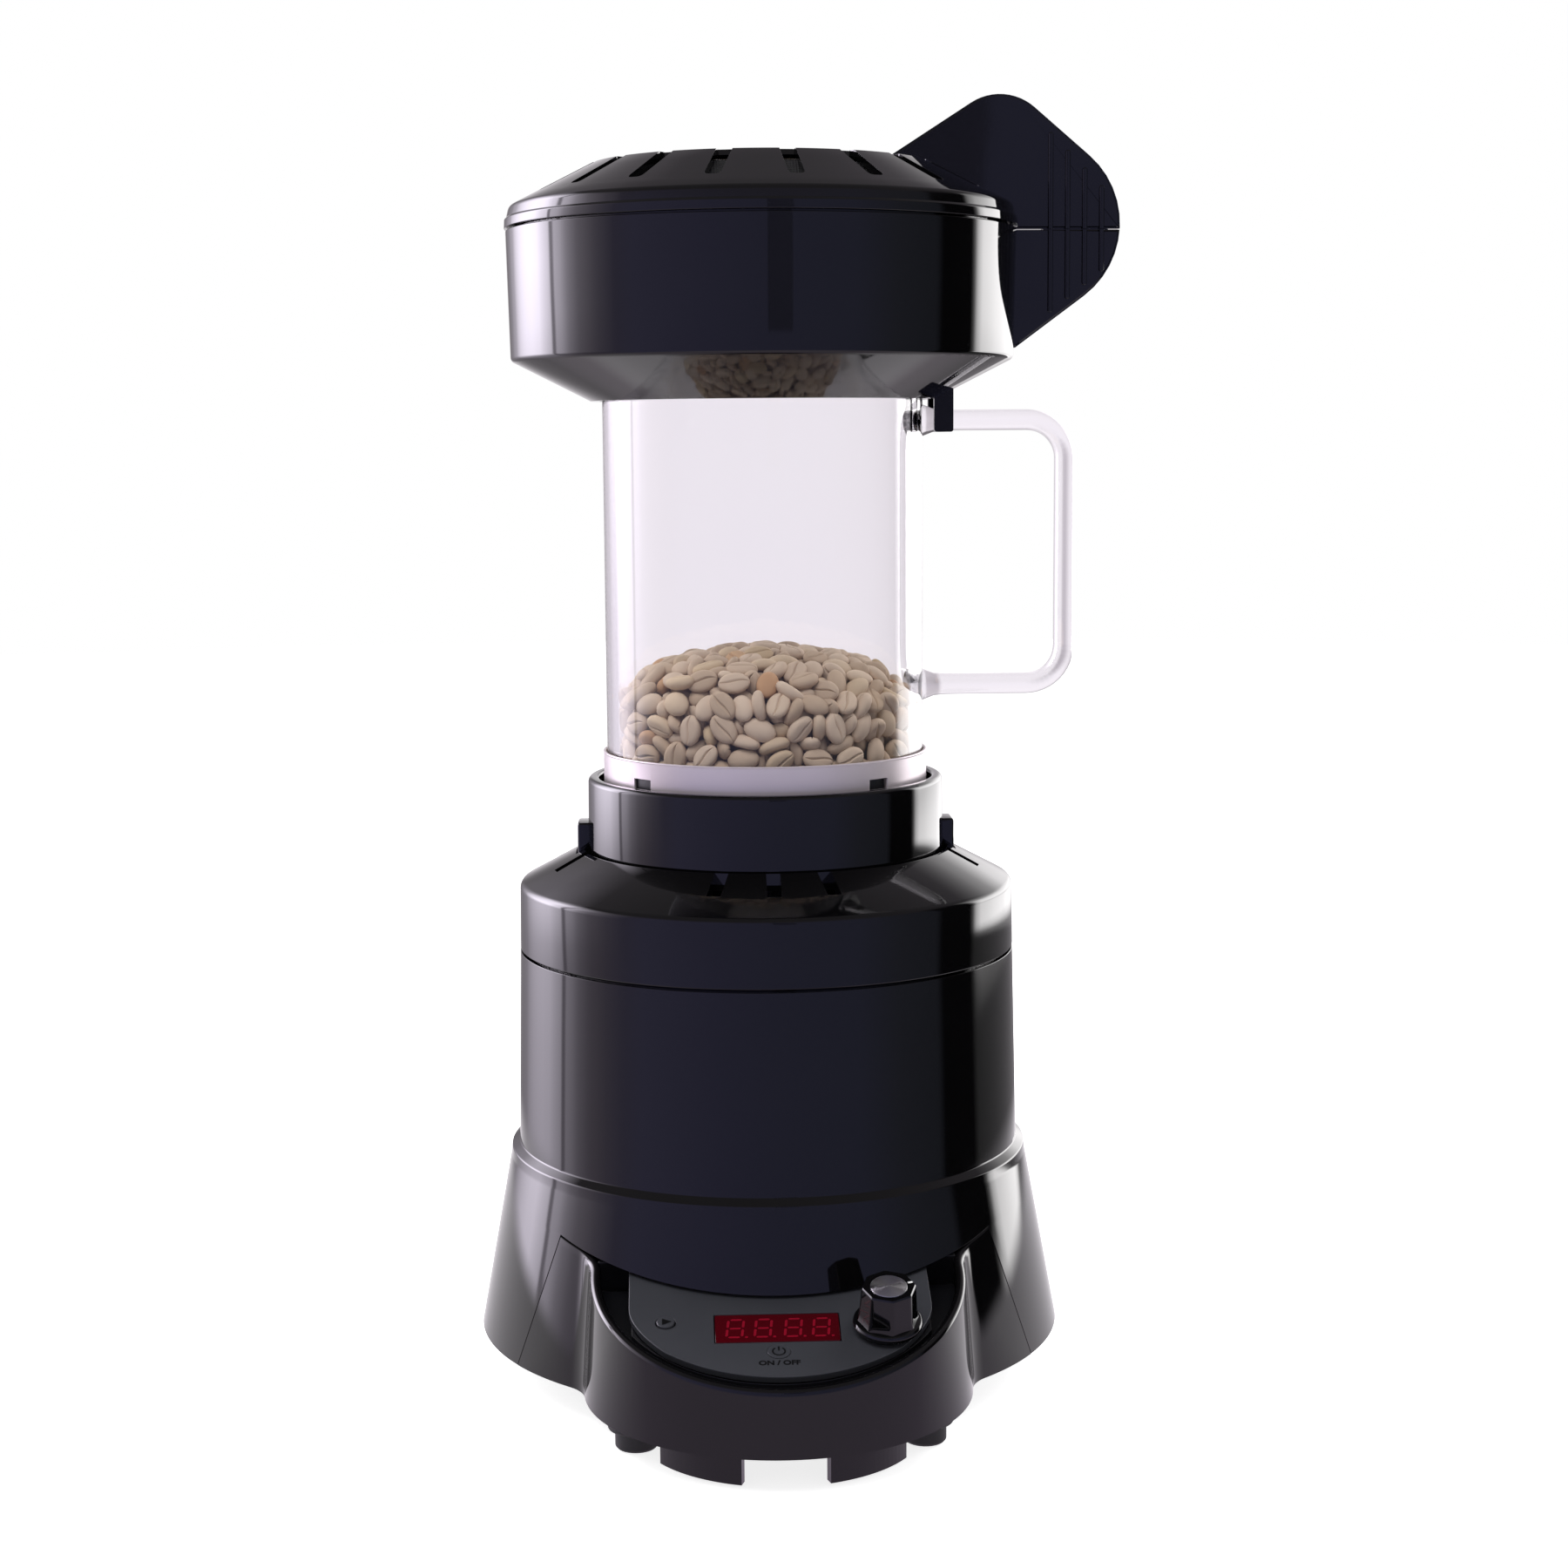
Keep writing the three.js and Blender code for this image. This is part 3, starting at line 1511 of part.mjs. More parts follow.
place(
  machine,
  "blower_housing",
  turned(
    [
      [blowerIntakeRadius, 0],
      [blowerRadius, 0],
      [blowerRadius, blowerRise],
      [ductRadius - ductWall, blowerRise],
      [ductRadius - ductWall, blowerRise - blowerWall],
      [blowerRadius - blowerWall, blowerRise - blowerWall],
      [blowerRadius - blowerWall, blowerWall],
      [blowerIntakeRadius, blowerWall],
    ],
    innerSteps,
  ),
  darkMatte,
  0,
  0,
  blowerFoot,
);

const rotorFoot = blowerFoot + blowerWall + impellerLift;
const motorFoot = plateTop + interior * motorFootShare;
const motorTop = plateTop + interior * motorTopShare;

function impeller() {
  const hub = drum(hubRadius, hubRadius, 0, impellerRise, innerSteps);
  const disc = drum(impellerRadius, impellerRadius, impellerRise - impellerDisc, impellerRise, innerSteps);
  const blades = around(bladeCount, 0, (degrees) =>
    box(
      impellerRadius - bladeInner - seatGap,
      bladeThickness,
      impellerRise - impellerDisc / 2,
      (impellerRadius + bladeInner) / 2,
      0,
      (impellerRise - impellerDisc / 2) / 2,
    ).rotate([0, 0, degrees]),
  );
  const bore = drum(shaftRadius + seatGap, shaftRadius + seatGap, -overrun, impellerRise + overrun);
  return cutBy(joined(hub, disc, ...blades), bore);
}

place(machine, "impeller", impeller(), darkMatte, 0, 0, rotorFoot);
place(
  machine,
  "motor_shaft",
  drum(shaftRadius, shaftRadius, 0, motorTop - rotorFoot + hubRadius / 2),
  steel,
  0,
  0,
  rotorFoot,
);

place(
  machine,
  "motor",
  cutBy(
    drum(motorRadius, motorRadius, 0, motorTop - motorFoot, innerSteps),
    drum(shaftRadius + seatGap, shaftRadius + seatGap, -overrun, motorTop + overrun),
  ),
  steel,
  0,
  0,
  motorFoot,
);

// Air duct: a tube on the blower, with ribs to the ring that holds the motor
const ductFoot = blowerTop + seatGap;
const ductTop = plateTop + interior * ductTopShare;

function airDuct() {
  const inner = ductRadius - ductWall;
  const tube = turned(
    [
      [inner, ductFoot],
      [ductRadius + ductFlange, ductFoot],
      [ductRadius + ductFlange, ductFoot + ductFlangeHeight],
      [ductRadius, ductFoot + ductFlangeHeight],
      [ductRadius, ductTop],
      [inner, ductTop],
    ],
    innerSteps,
  );
  const middle = (motorFoot + motorTop) / 2;
  const ringInner = motorRadius + seatGap;
  const ringOuter = ringInner + motorRingWall;
  const ringFoot = middle - motorRingRise / 2;
  const ringTop = middle + motorRingRise / 2;
  const ring = turned(
    [
      [ringInner, ringFoot],
      [ringOuter, ringFoot],
      [ringOuter, ringTop],
      [ringInner, ringTop],
    ],
    innerSteps,
  );
  const spokes = around(3, 90, (degrees) =>
    box(
      inner - ringOuter + ductWall,
      ductRibThickness,
      motorRingRise,
      (inner + ringOuter) / 2,
      0,
      middle,
    ).rotate([0, 0, degrees]),
  );
  return joined(tube, ring, ...spokes);
}

place(machine, "air_duct", airDuct(), darkMatte);

// Heater: a steel sleeve with a mica cross that carries the coil
const sleeveFoot = ductTop + seatGap;
const sleeveTop = collarFoot + collarShelf;
place(
  machine,
  "heater_sleeve",
  turned(
    [
      [sleeveInner, sleeveFoot],
      [sleeveRadius, sleeveFoot],
      [sleeveRadius, sleeveTop],
      [sleeveInner, sleeveTop],
    ],
    innerSteps,
  ),
  steel,
);

const coilFoot = plateTop + interior * coilFootShare;
const coilTop = plateTop + interior * coilTopShare;

class CoilPath extends THREE.Curve {
  getPoint(share) {
    const turn = share * coilTurns * 2 * Math.PI;
    const height = coilFoot + share * (coilTop - coilFoot);
    return new THREE.Vector3(coilRadius * Math.cos(turn), coilRadius * Math.sin(turn), height);
  }
}

function heaterCoil() {
  const wire = new THREE.Shape();
  wire.absarc(0, 0, coilWireRadius, 0, 2 * Math.PI, false);
  return solidOf(
    new THREE.ExtrudeGeometry(wire, {
      extrudePath: new CoilPath(),
      steps: coilTurns * coilStepsPerTurn,
      curveSegments: 3,
    }),
  );
}

place(machine, "heater_coil", heaterCoil(), steel);

function micaCross() {
  const narrow = 2 * (coilRadius - coilWireRadius - 2 * seatGap);
  const wide = 2 * (sleeveInner - 2 * seatGap);
  const middle = (coilFoot + coilTop) / 2;
  const height = coilTop - coilFoot + 4 * coilWireRadius;
  const bandLow = middle - height / 2 - micaBand / 2;
  const bandHigh = middle + height / 2 + micaBand / 2;
  const sheet = joined(
    box(narrow, micaThickness, height + micaBand, 0, 0, middle),
    box(wide, micaThickness, micaBand, 0, 0, bandLow),
    box(wide, micaThickness, micaBand, 0, 0, bandHigh),
  );
  return joined(sheet, sheet.rotate([0, 0, 90]));
}

place(machine, "mica_cross", micaCross(), mica);

// Thermal cut-out on the sleeve's flank
const cutoutHeight = (sleeveFoot + coilTop) / 2;
place(
  machine,
  "thermal_cutout",
  drum(cutoutRadius, cutoutRadius, 0, cutoutDepth)
    .rotate([-90, 0, 0])
    .translate(0, sleeveRadius + seatGap, cutoutHeight),
  darkMatte,
);

place(
  machine,
  "power_board",
  box(powerBoardWidth, powerBoardThickness, powerBoardHeight, 0, 0, powerBoardHeight / 2),
  boardGreen,
  0,
  bodyTopRadius - powerBoardInset,
  plateTop + seatGap,
);

export default roaster;
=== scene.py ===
import math
import bmesh
import bpy
import numpy
from mathutils import Matrix, Vector


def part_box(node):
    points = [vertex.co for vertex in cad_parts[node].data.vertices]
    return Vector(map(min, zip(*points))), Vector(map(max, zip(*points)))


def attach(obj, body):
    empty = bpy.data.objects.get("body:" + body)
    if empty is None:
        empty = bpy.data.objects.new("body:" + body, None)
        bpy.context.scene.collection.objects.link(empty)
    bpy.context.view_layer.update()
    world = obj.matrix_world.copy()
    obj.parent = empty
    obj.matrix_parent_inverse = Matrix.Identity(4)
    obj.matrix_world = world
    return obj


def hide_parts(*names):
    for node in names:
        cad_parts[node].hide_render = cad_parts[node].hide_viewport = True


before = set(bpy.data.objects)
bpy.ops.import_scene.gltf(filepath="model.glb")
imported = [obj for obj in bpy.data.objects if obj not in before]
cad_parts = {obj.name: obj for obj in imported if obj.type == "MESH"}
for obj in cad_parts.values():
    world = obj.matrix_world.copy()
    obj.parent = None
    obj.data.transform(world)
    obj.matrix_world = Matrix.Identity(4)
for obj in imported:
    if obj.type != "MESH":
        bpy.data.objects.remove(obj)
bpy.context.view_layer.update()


# Base housing. A straight drum on a flared skirt, one shell of gloss black plastic about
# 2.6 mm thick, injection moulded and open at the front where the console goes in.
# Sizes here and below are millimetres from the machine's middle axis and from the table.
lowest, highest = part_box("top_cap")
machine_axis = Vector(((lowest[0] + highest[0]) / 2, (lowest[1] + highest[1]) / 2, 0))
in_frame = Matrix.Translation(machine_axis) @ Matrix.Scale(0.001, 4)
skirt_foot, skirt_top = 11.6, 68.7
skirt_foot_radius, skirt_top_radius = 91.8, 81.3
skirt_fall = (skirt_foot_radius - skirt_top_radius) / (skirt_top - skirt_foot)
skirt_crown = 67.0  # where the skirt's straight side ends and the ledge begins
housing_wall = 2.6
drum_foot_radius, drum_top_radius, drum_top = 78.8, 77.6, 131.8
console_lean = math.radians(17)
console_cut_height, console_cut_forward = 44.2, 85.9
opening_half_width, opening_side_lean = 65.1, 0.333


def eased(corners, arc_steps=6):
    """The points of a closed outline whose (x, y, radius) corners are rounded."""
    outline = []
    for i, (x, y, radius) in enumerate(corners):
        if not radius:
            outline.append((x, y))
            continue
        corner = Vector((x, y))
        back = (Vector(corners[i - 1][:2]) - corner).normalized()
        ahead = (Vector(corners[(i + 1) % len(corners)][:2]) - corner).normalized()
        half = back.angle(ahead) / 2
        centre = corner + (back + ahead).normalized() * radius / math.sin(half)
        start = corner + back * radius / math.tan(half) - centre
        sweep = math.pi - 2 * half
        if back.x * ahead.y - back.y * ahead.x > 0:
            sweep = -sweep
        for step in range(arc_steps + 1):
            point = centre + Matrix.Rotation(sweep * step / arc_steps, 2) @ start
            outline.append((point.x, point.y))
    return outline


def skinned(work, rows, around=True, keep=None):
    """Faces between rows of points; keep(row, column) can leave some of them out."""
    lines = [[work.verts.new(point) for point in row] for row in rows]
    for i in range(len(lines) - 1):
        columns = len(lines[i]) if around else len(lines[i]) - 1
        for j in range(columns):
            k = (j + 1) % len(lines[i])
            if keep is None or keep(i, j):
                work.faces.new((lines[i][j], lines[i][k], lines[i + 1][k], lines[i + 1][j]))
    return lines


def capped(work, rows):
    """Faces between rows of points, and over the first and the last row."""
    lines = skinned(work, rows)
    work.faces.new(lines[0][::-1])
    work.faces.new(lines[-1])


def turned(work, profile, columns):
    """A body turned about the upright axis from a closed outline of (radius, height)."""
    rows = []
    for radius, height in profile:
        if radius < 1e-6:
            rows.append([work.verts.new((0, 0, height))])
            continue
        ring = [i * 2 * math.pi / columns for i in range(columns)]
        rows.append([work.verts.new((radius * math.cos(a), radius * math.sin(a), height)) for a in ring])
    for low, high in zip(rows, rows[1:] + rows[:1]):
        for j in range(columns):
            k = (j + 1) % columns
            if len(low) == 1 and len(high) == 1:
                break
            if len(low) == 1:
                work.faces.new((low[0], high[k], high[j]))
            elif len(high) == 1:
                work.faces.new((low[j], low[k], high[0]))
            else:
                work.faces.new((low[j], low[k], high[k], high[j]))


def lathed(corners, arc_steps, columns, place=None):
    """A body turned from an outline with rounded corners, and set in place."""
    work = bmesh.new()
    turned(work, eased(corners, arc_steps), columns)
    if place is not None:
        work.transform(place)
    return work


def mesh_of(name, work):
    shape = bpy.data.meshes.new(name)
    work.to_mesh(shape)
    work.free()
    return shape


def placed(name, data):
    thing = bpy.data.objects.new(name, data)
    bpy.context.collection.objects.link(thing)
    return thing


def assembled(work, name, body, material, stands_for=(), sharp=None):
    """Sets a body made in millimetres about the machine's axis down in the frame."""
    work.transform(in_frame)
    bmesh.ops.recalc_face_normals(work, faces=work.faces)
    shape = mesh_of(name, work)
    for face in shape.polygons:
        face.use_smooth = True
    if sharp:
        shape.set_sharp_from_angle(angle=math.radians(sharp))
    shape.materials.append(material)
    piece = placed(name, shape)
    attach(piece, body)
    if stands_for:
        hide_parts(*stands_for)
    return piece


def thickened(piece, wall):
    shell = piece.modifiers.new("wall", "SOLIDIFY")
    shell.thickness, shell.offset, shell.use_even_offset = wall / 1000, -1, True


def edges_broken(piece, width, degrees=32):
    """Moulded and machined edges are never knife sharp: a small round catches the light."""
    edge = piece.modifiers.new("broken edges", "BEVEL")
    edge.width, edge.segments, edge.harden_normals = width / 1000, 2, True
    edge.limit_method, edge.angle_limit = "ANGLE", math.radians(degrees)


def cut_away(piece, cutter, operation="DIFFERENCE"):
    """Takes the cutter's volume out of the piece, or joins it on, and drops the cutter."""
    cutter.transform(in_frame)
    bmesh.ops.recalc_face_normals(cutter, faces=cutter.faces)
    tool = placed("cutter", mesh_of("cutter", cutter))
    cut = piece.modifiers.new("cut", "BOOLEAN")
    cut.operation, cut.solver, cut.object = operation, "EXACT", tool
    done = bpy.data.meshes.new_from_object(piece.evaluated_get(bpy.context.evaluated_depsgraph_get()))
    piece.modifiers.clear()
    piece.data = done
    bpy.data.objects.remove(tool)


def plug(work, radius, low, high, matrix):
    """A round bar along the matrix's own Z, for cutting a hole."""
    bmesh.ops.create_cone(
        work, cap_ends=True, segments=48, radius1=radius, radius2=radius, depth=high - low,
        matrix=matrix @ Matrix.Translation((0, 0, (low + high) / 2)),
    )


def tuned(node, values):
    """Gives a node's inputs their values, by name or place."""
    for place, value in dict(values).items():
        node.inputs[place].default_value = value
    return node


def made(tree, kind, values=(), **own):
    """A shader node with its own settings and the values of its inputs."""
    node = tree.nodes.new("ShaderNode" + kind)
    for name, value in own.items():
        setattr(node, name, value)
    return tuned(node, values)


def wired(tree, *links):
    """Links written as source, node and input. A source is a node's first output, or a pair."""
    for source, node, place in links:
        start, output = source if isinstance(source, tuple) else (source, 0)
        tree.links.new(start.outputs[output], node.inputs[place])


def moulded_surface():
    """What a moulded surface really has: faint sink ripples, fine polishing marks and dust."""
    group = bpy.data.node_groups.new("moulded surface", "ShaderNodeTree")
    face = group.interface
    for name in ("Roughness", "Marks", "Ripple", "Dust", "Size"):
        face.new_socket(name=name, in_out="INPUT", socket_type="NodeSocketFloat")
    for name in ("Roughness", "Height"):
        face.new_socket(name=name, in_out="OUTPUT", socket_type="NodeSocketFloat")
    given, out = group.nodes.new("NodeGroupInput"), group.nodes.new("NodeGroupOutput")
    where = made(group, "TexCoord")

    def grain(scale, detail):
        size = made(group, "Math", {1: scale}, operation="MULTIPLY")
        noise = made(group, "TexNoise", {"Detail": detail})
        wired(
            group, ((given, "Size"), size, 0), (size, noise, "Scale"), ((where, "Object"), noise, "Vector"),
        )
        return noise

    def combined(operation, first, second):
        node = made(group, "Math", operation=operation)
        wired(group, (first, node, 0), (second, node, 1))
        return node

    wipe, speck, sink = grain(55, 5), grain(2600, 2), grain(28, 1)
    spots = made(group, "MapRange", {"From Min": 0.70, "From Max": 0.78})
    speck_rise = made(group, "Math", {1: 0.01}, operation="MULTIPLY")
    wired(group, (speck, spots, "Value"))
    dust = combined("MULTIPLY", combined("MULTIPLY", spots, wipe), (given, "Dust"))
    marks = combined("MULTIPLY", wipe, (given, "Marks"))
    rough = combined("ADD", combined("ADD", marks, (given, "Roughness")), dust)
    relief = combined("ADD", combined("MULTIPLY", sink, (given, "Ripple")), speck_rise)
    wired(group, (dust, speck_rise, 0), (rough, out, "Roughness"), (relief, out, "Height"))
    return group


surface_marks = moulded_surface()


def shader_of(material):
    return material.node_tree.nodes["Principled BSDF"]


def finish(name, values):
    """A new material with these values in its main shader."""
    material = bpy.data.materials.new(name)
    material.use_nodes = True
    tuned(shader_of(material), values)
    return material


def moulded(name, colour, second, roughness, marks=0.03, ripple=0.3, dust=0.05, size=1.0, metallic=0.0):
    """A finish whose colour drifts between two tones, with the surface's own marks and ripples."""
    material = finish(name, {"Metallic": metallic})
    tree, shader = material.node_tree, shader_of(material)
    surface = made(tree, "Group", node_tree=surface_marks)
    tuned(surface, {"Roughness": roughness, "Marks": marks, "Ripple": ripple, "Dust": dust, "Size": size})
    tone = made(tree, "Mix", {"A": (*colour, 1), "B": (*second, 1)}, data_type="RGBA")
    where, drift = made(tree, "TexCoord"), made(tree, "TexNoise", {"Scale": 40 * size, "Detail": 3})
    bump = made(tree, "Bump", {"Distance": 0.0002})
    wired(
        tree, ((where, "Object"), drift, "Vector"), (drift, tone, "Factor"),
        ((tone, "Result"), shader, "Base Color"), ((surface, "Roughness"), shader, "Roughness"),
        ((surface, "Height"), bump, "Height"), (bump, shader, "Normal"),
    )
    return material


gloss_black = moulded("gloss_black", (0.0012, 0.0012, 0.0014), (0.0022, 0.002, 0.0024), 0.035,
                      marks=0.025, dust=0.2)


def skirt_radius(height):
    return skirt_foot_radius - skirt_fall * (height - skirt_foot)


def opening_side(height):
    """How far round from the front the opening's side lies at a height."""
    half = opening_half_width + (52 - height) * opening_side_lean
    return math.asin(half / skirt_radius(height))


def opening_arch(turn):
    """The height of the opening's upper edge at an angle from the front."""
    lean, forward = math.tan(console_lean), math.cos(turn)
    reach = skirt_foot_radius + skirt_fall * skirt_foot
    level = console_cut_height + lean * (console_cut_forward - forward * reach)
    return level / (1 - lean * forward * skirt_fall)


corner_turn = math.radians(50)
for _ in range(30):
    corner_turn = opening_side(opening_arch(corner_turn))
corner_height = opening_arch(corner_turn)


def around_housing(side, front_columns=56, other_columns=150):
    """Angles round the skirt, those in front between the opening's corners first."""
    front = [-corner_turn + 2 * corner_turn * i / front_columns for i in range(front_columns)]
    rest = [side + (2 * math.pi - 2 * side) * i / other_columns for i in range(other_columns + 1)]
    return front, rest


def housing_row(share, low):
    """One row of the skirt. Below the corners the row runs only round the sides and the rear."""
    level = skirt_foot + share * (corner_height - skirt_foot)
    side = opening_side(level) if low else corner_turn
    front, rest = around_housing(side)
    row = []
    for turn in front:
        arch = opening_arch(turn)
        row.append((turn, arch if low else arch + share * (skirt_crown - arch)))
    if low:
        row[0] = (-side, level)
    beside = level if low else corner_height + share * (skirt_crown - corner_height)
    row += [(turn, beside) for turn in rest[:-1]]
    return [(skirt_radius(z) * math.sin(turn), -skirt_radius(z) * math.cos(turn), z) for turn, z in row]


housing = bmesh.new()
low_shares = [0.0, 0.03, 0.12, 0.3, 0.5, 0.7, 0.88]
high_shares = [0.0, 0.08, 0.25, 0.5, 0.75, 0.93, 1.0]
ledge_outer, ledge_inner = 69.5, 71.3
upper = eased([
    (skirt_radius(skirt_crown), skirt_crown, 0), (skirt_top_radius + 0.1, ledge_outer, 0.8),
    (drum_foot_radius + 0.1, ledge_inner, 0.7), (drum_top_radius, drum_top, 0),
    (drum_top_radius - 10, drum_top, 0),
], 7)[:-1]
front, rest = around_housing(corner_turn)
turns = front + rest[:-1]
front_count = len(front)
rows = [housing_row(share, True) for share in low_shares]
rows += [housing_row(share, False) for share in high_shares]
rows += [[(radius * math.sin(a), -radius * math.cos(a), z) for a in turns] for radius, z in upper[1:]]
low_count = len(low_shares)
skinned(housing, rows, keep=lambda i, j: i >= low_count or j >= front_count)
bmesh.ops.delete(housing, geom=[v for v in housing.verts if not v.link_faces], context="VERTS")
base_housing = assembled(housing, "housing_shell", "base", gloss_black, ["base_housing"])
thickened(base_housing, housing_wall)
inlet_height, inlet_lean, inlet_hole_radius = 31.6, math.radians(10.42 - 90), 6.1
inlet_seat = Matrix.Translation((0, skirt_radius(inlet_height), inlet_height))
inlet_seat = inlet_seat @ Matrix.Rotation(inlet_lean, 4, "X")
inlet_hole = bmesh.new()
plug(inlet_hole, inlet_hole_radius, -9, 6, inlet_seat)
cut_away(base_housing, inlet_hole)
edges_broken(base_housing, 0.35)


# Console bezel. The round bulge at the foot of the front with its two flanks, moulded in the
# same gloss black, with a rolled lip round the sunken panel and a dark well on either side.
bulge_foot_radius, bulge_forward, bulge_draft, fold_radius = 57.5, 71.2, 0.07, 14
bulge_wall, flank_wall, seam = 3.0, housing_wall, 0.35
panel_height, well_depth, well_wall = 47.494, 9.0, 1.6
arc_columns, fold_columns, flank_columns = 44, 18, 12


def console_point(column, height, inset):
    """A point of the console's outline seen from above, right half, at a height and drawn in."""
    skirt = skirt_radius(height) - inset
    bulge = bulge_foot_radius - (height - skirt_foot) * bulge_draft - inset
    fold = fold_radius + inset
    back = ((skirt + fold) ** 2 - (bulge + fold) ** 2 + bulge_forward ** 2) / (2 * bulge_forward)
    side = math.sqrt((skirt + fold) ** 2 - back ** 2)
    on_bulge = math.atan2(bulge_forward - back, side)
    on_skirt = math.atan2(-back, side)
    if column <= arc_columns:
        turn = -math.pi / 2 + (on_bulge + math.pi / 2) * column / arc_columns
        return bulge * math.cos(turn), -bulge_forward + bulge * math.sin(turn)
    column -= arc_columns
    if column <= fold_columns:
        turn = math.pi + on_bulge + (on_skirt - on_bulge) * column / fold_columns
        return side + fold * math.cos(turn), -back + fold * math.sin(turn)
    column -= fold_columns
    seam_turn = opening_side(height) - math.pi / 2 - seam / skirt
    turn = on_skirt + (seam_turn - on_skirt) * column / flank_columns
    return skirt * math.cos(turn), skirt * math.sin(turn)


def console_top(column):
    """The height of the lip's crown above a column of the outline."""
    height = 45.0
    for _ in range(12):
        y = console_point(column, height, 0)[1]
        height = console_cut_height - seam + math.tan(console_lean) * (y + console_cut_forward)
    return height


def panel_level(y, drop=0.0):
    return panel_height + math.tan(console_lean) * (y + bulge_forward) - drop / math.cos(console_lean)


def quarter(steps, first=0):
    """Angles in equal steps up to a quarter turn."""
    return [math.pi / 2 * step / steps for step in range(first, steps + 1)]


def console_column(column):
    """The section of the wall at one column: up the outside, over the lip and down inside."""
    on_flank = max(0.0, min(1.0, (column - arc_columns - fold_columns * 0.45) / (fold_columns * 0.5)))
    wall = bulge_wall + (flank_wall - bulge_wall) * on_flank
    roll = wall / 2 * (1 - on_flank) + 0.5 * on_flank
    shoulder = console_top(column) - roll
    shares = (0.0, 0.04, 0.2, 0.4, 0.6, 0.8, 0.95, 1.0)
    section = [(skirt_foot + share * (shoulder - skirt_foot), 0.0) for share in shares]
    for turn in quarter(6, 1):
        section.append((shoulder + roll * math.sin(turn), roll * (1 - math.cos(turn))))
    for turn in quarter(6):
        section.append((shoulder + roll * math.cos(turn), wall - roll + roll * math.sin(turn)))
    section += [(max(skirt_foot + 1, shoulder - 8), wall), (skirt_foot, wall)]
    return [(*console_point(column, height, inset), height) for height, inset in section]


console = bmesh.new()
right = [console_column(column) for column in range(arc_columns + fold_columns + flank_columns + 1)]
left = [[(-x, y, z) for x, y, z in section] for section in right[:0:-1]]
rows = list(zip(*left, *right))
lines = skinned(console, rows + [rows[0]], around=False)
for end in (0, -1):
    console.faces.new([line[end] for line in lines[:-1]])
bmesh.ops.remove_doubles(console, verts=console.verts, dist=0.0005)
console_bezel = assembled(console, "console_bezel_shell", "base", gloss_black, ["console_bezel"], sharp=50)

# Inside the bezel: the floor of the wells, the pocket walls that the panel stands on and the
# wall behind them, all one dark moulding in the real machine.
well_black = moulded("well_black", (0.004, 0.004, 0.005), (0.007, 0.007, 0.008), 0.28,
                     marks=0.1, ripple=0.2, dust=0.3)


def block(work, width, depth, height, place):
    """An upright block about the middle of which place is a matrix or a point."""
    matrix = place if isinstance(place, Matrix) else Matrix.Translation(place)
    bmesh.ops.create_cube(work, size=1, matrix=matrix @ Matrix.Diagonal((width, depth, height, 1)))


wells = bmesh.new()
inner = [console_point(column, 40, bulge_wall - 0.2) for column in range(arc_columns + 4)]
inner = [(-x, y) for x, y in inner[:0:-1]] + inner
rear_y = -bulge_forward + 6.0
floor_line = [(x, y) for x, y in inner if y < rear_y]
floor_line += [(-floor_line[0][0], rear_y), (floor_line[0][0], rear_y)]
capped(wells, [[(x, y, panel_level(y, depth)) for x, y in floor_line]
               for depth in (well_depth, well_depth + well_wall)])
panel_half_width, panel_front_radius, pocket_inset, pocket_top = 43.8, 51.4, 0.8, 2.55
pocket = []
pocket_radius = panel_front_radius - pocket_inset
side_turn = math.acos((panel_half_width - pocket_inset) / pocket_radius)
for step in range(33):
    turn = math.pi + side_turn + (math.pi - 2 * side_turn) * step / 32
    pocket.append((pocket_radius * math.cos(turn), pocket_radius * math.sin(turn) * math.cos(console_lean)))
pocket = [(pocket[0][0], 4.0)] + pocket + [(pocket[-1][0], 4.0)]
wall_rows = []
into_floor = well_depth + 0.2
for inset, depth in ((0, into_floor), (0, pocket_top), (well_wall, pocket_top), (well_wall, into_floor)):
    share = 1 - inset / panel_front_radius
    spots = [(x * share, y * share - bulge_forward) for x, y in pocket]
    wall_rows.append([(x, y, panel_level(y, depth)) for x, y in spots])
skinned(wells, wall_rows + [wall_rows[0]], around=False)
bmesh.ops.remove_doubles(wells, verts=wells.verts, dist=0.0005)
rear_wall_rise, rear_wall_drop = 10.5, 4.6
rear_wall = Matrix.Translation((0, rear_y + 0.4, panel_level(rear_y, rear_wall_drop)))
rear_wall = rear_wall @ Matrix.Rotation(console_lean, 4, "X")
block(wells, 2 * abs(floor_line[0][0]), well_wall, rear_wall_rise, rear_wall)
console_wells = assembled(wells, "console_wells", "base", well_black, sharp=30)
edges_broken(console_wells, 0.25)


# Control panel. A flat plate of grey satin plastic, 2.2 mm thick with a rounded front, dropped
# onto its ledge in the console. Its printed marks are thin dark ink on the surface.
on_panel = Matrix.Translation((0, -bulge_forward, panel_height)) @ Matrix.Rotation(console_lean, 4, "X")
panel_thickness = 2.2
panel_grey = moulded("panel_grey", (0.028, 0.029, 0.035), (0.036, 0.037, 0.043), 0.36,
                     marks=0.08, ripple=0.1, dust=0.2, size=1.6)
panel_ink = moulded("panel_ink", (0.002, 0.002, 0.002), (0.004, 0.004, 0.004), 0.5, dust=0.2, size=2)
tuned(shader_of(panel_ink), {"Specular IOR Level": 0.15})


def slice_of(work, outline, low, high, matrix):
    """A flat plate of an outline, between two heights of its own plane."""
    capped(work, [[matrix @ Vector((x, y, z)) for x, y in outline] for z in (low, high)])


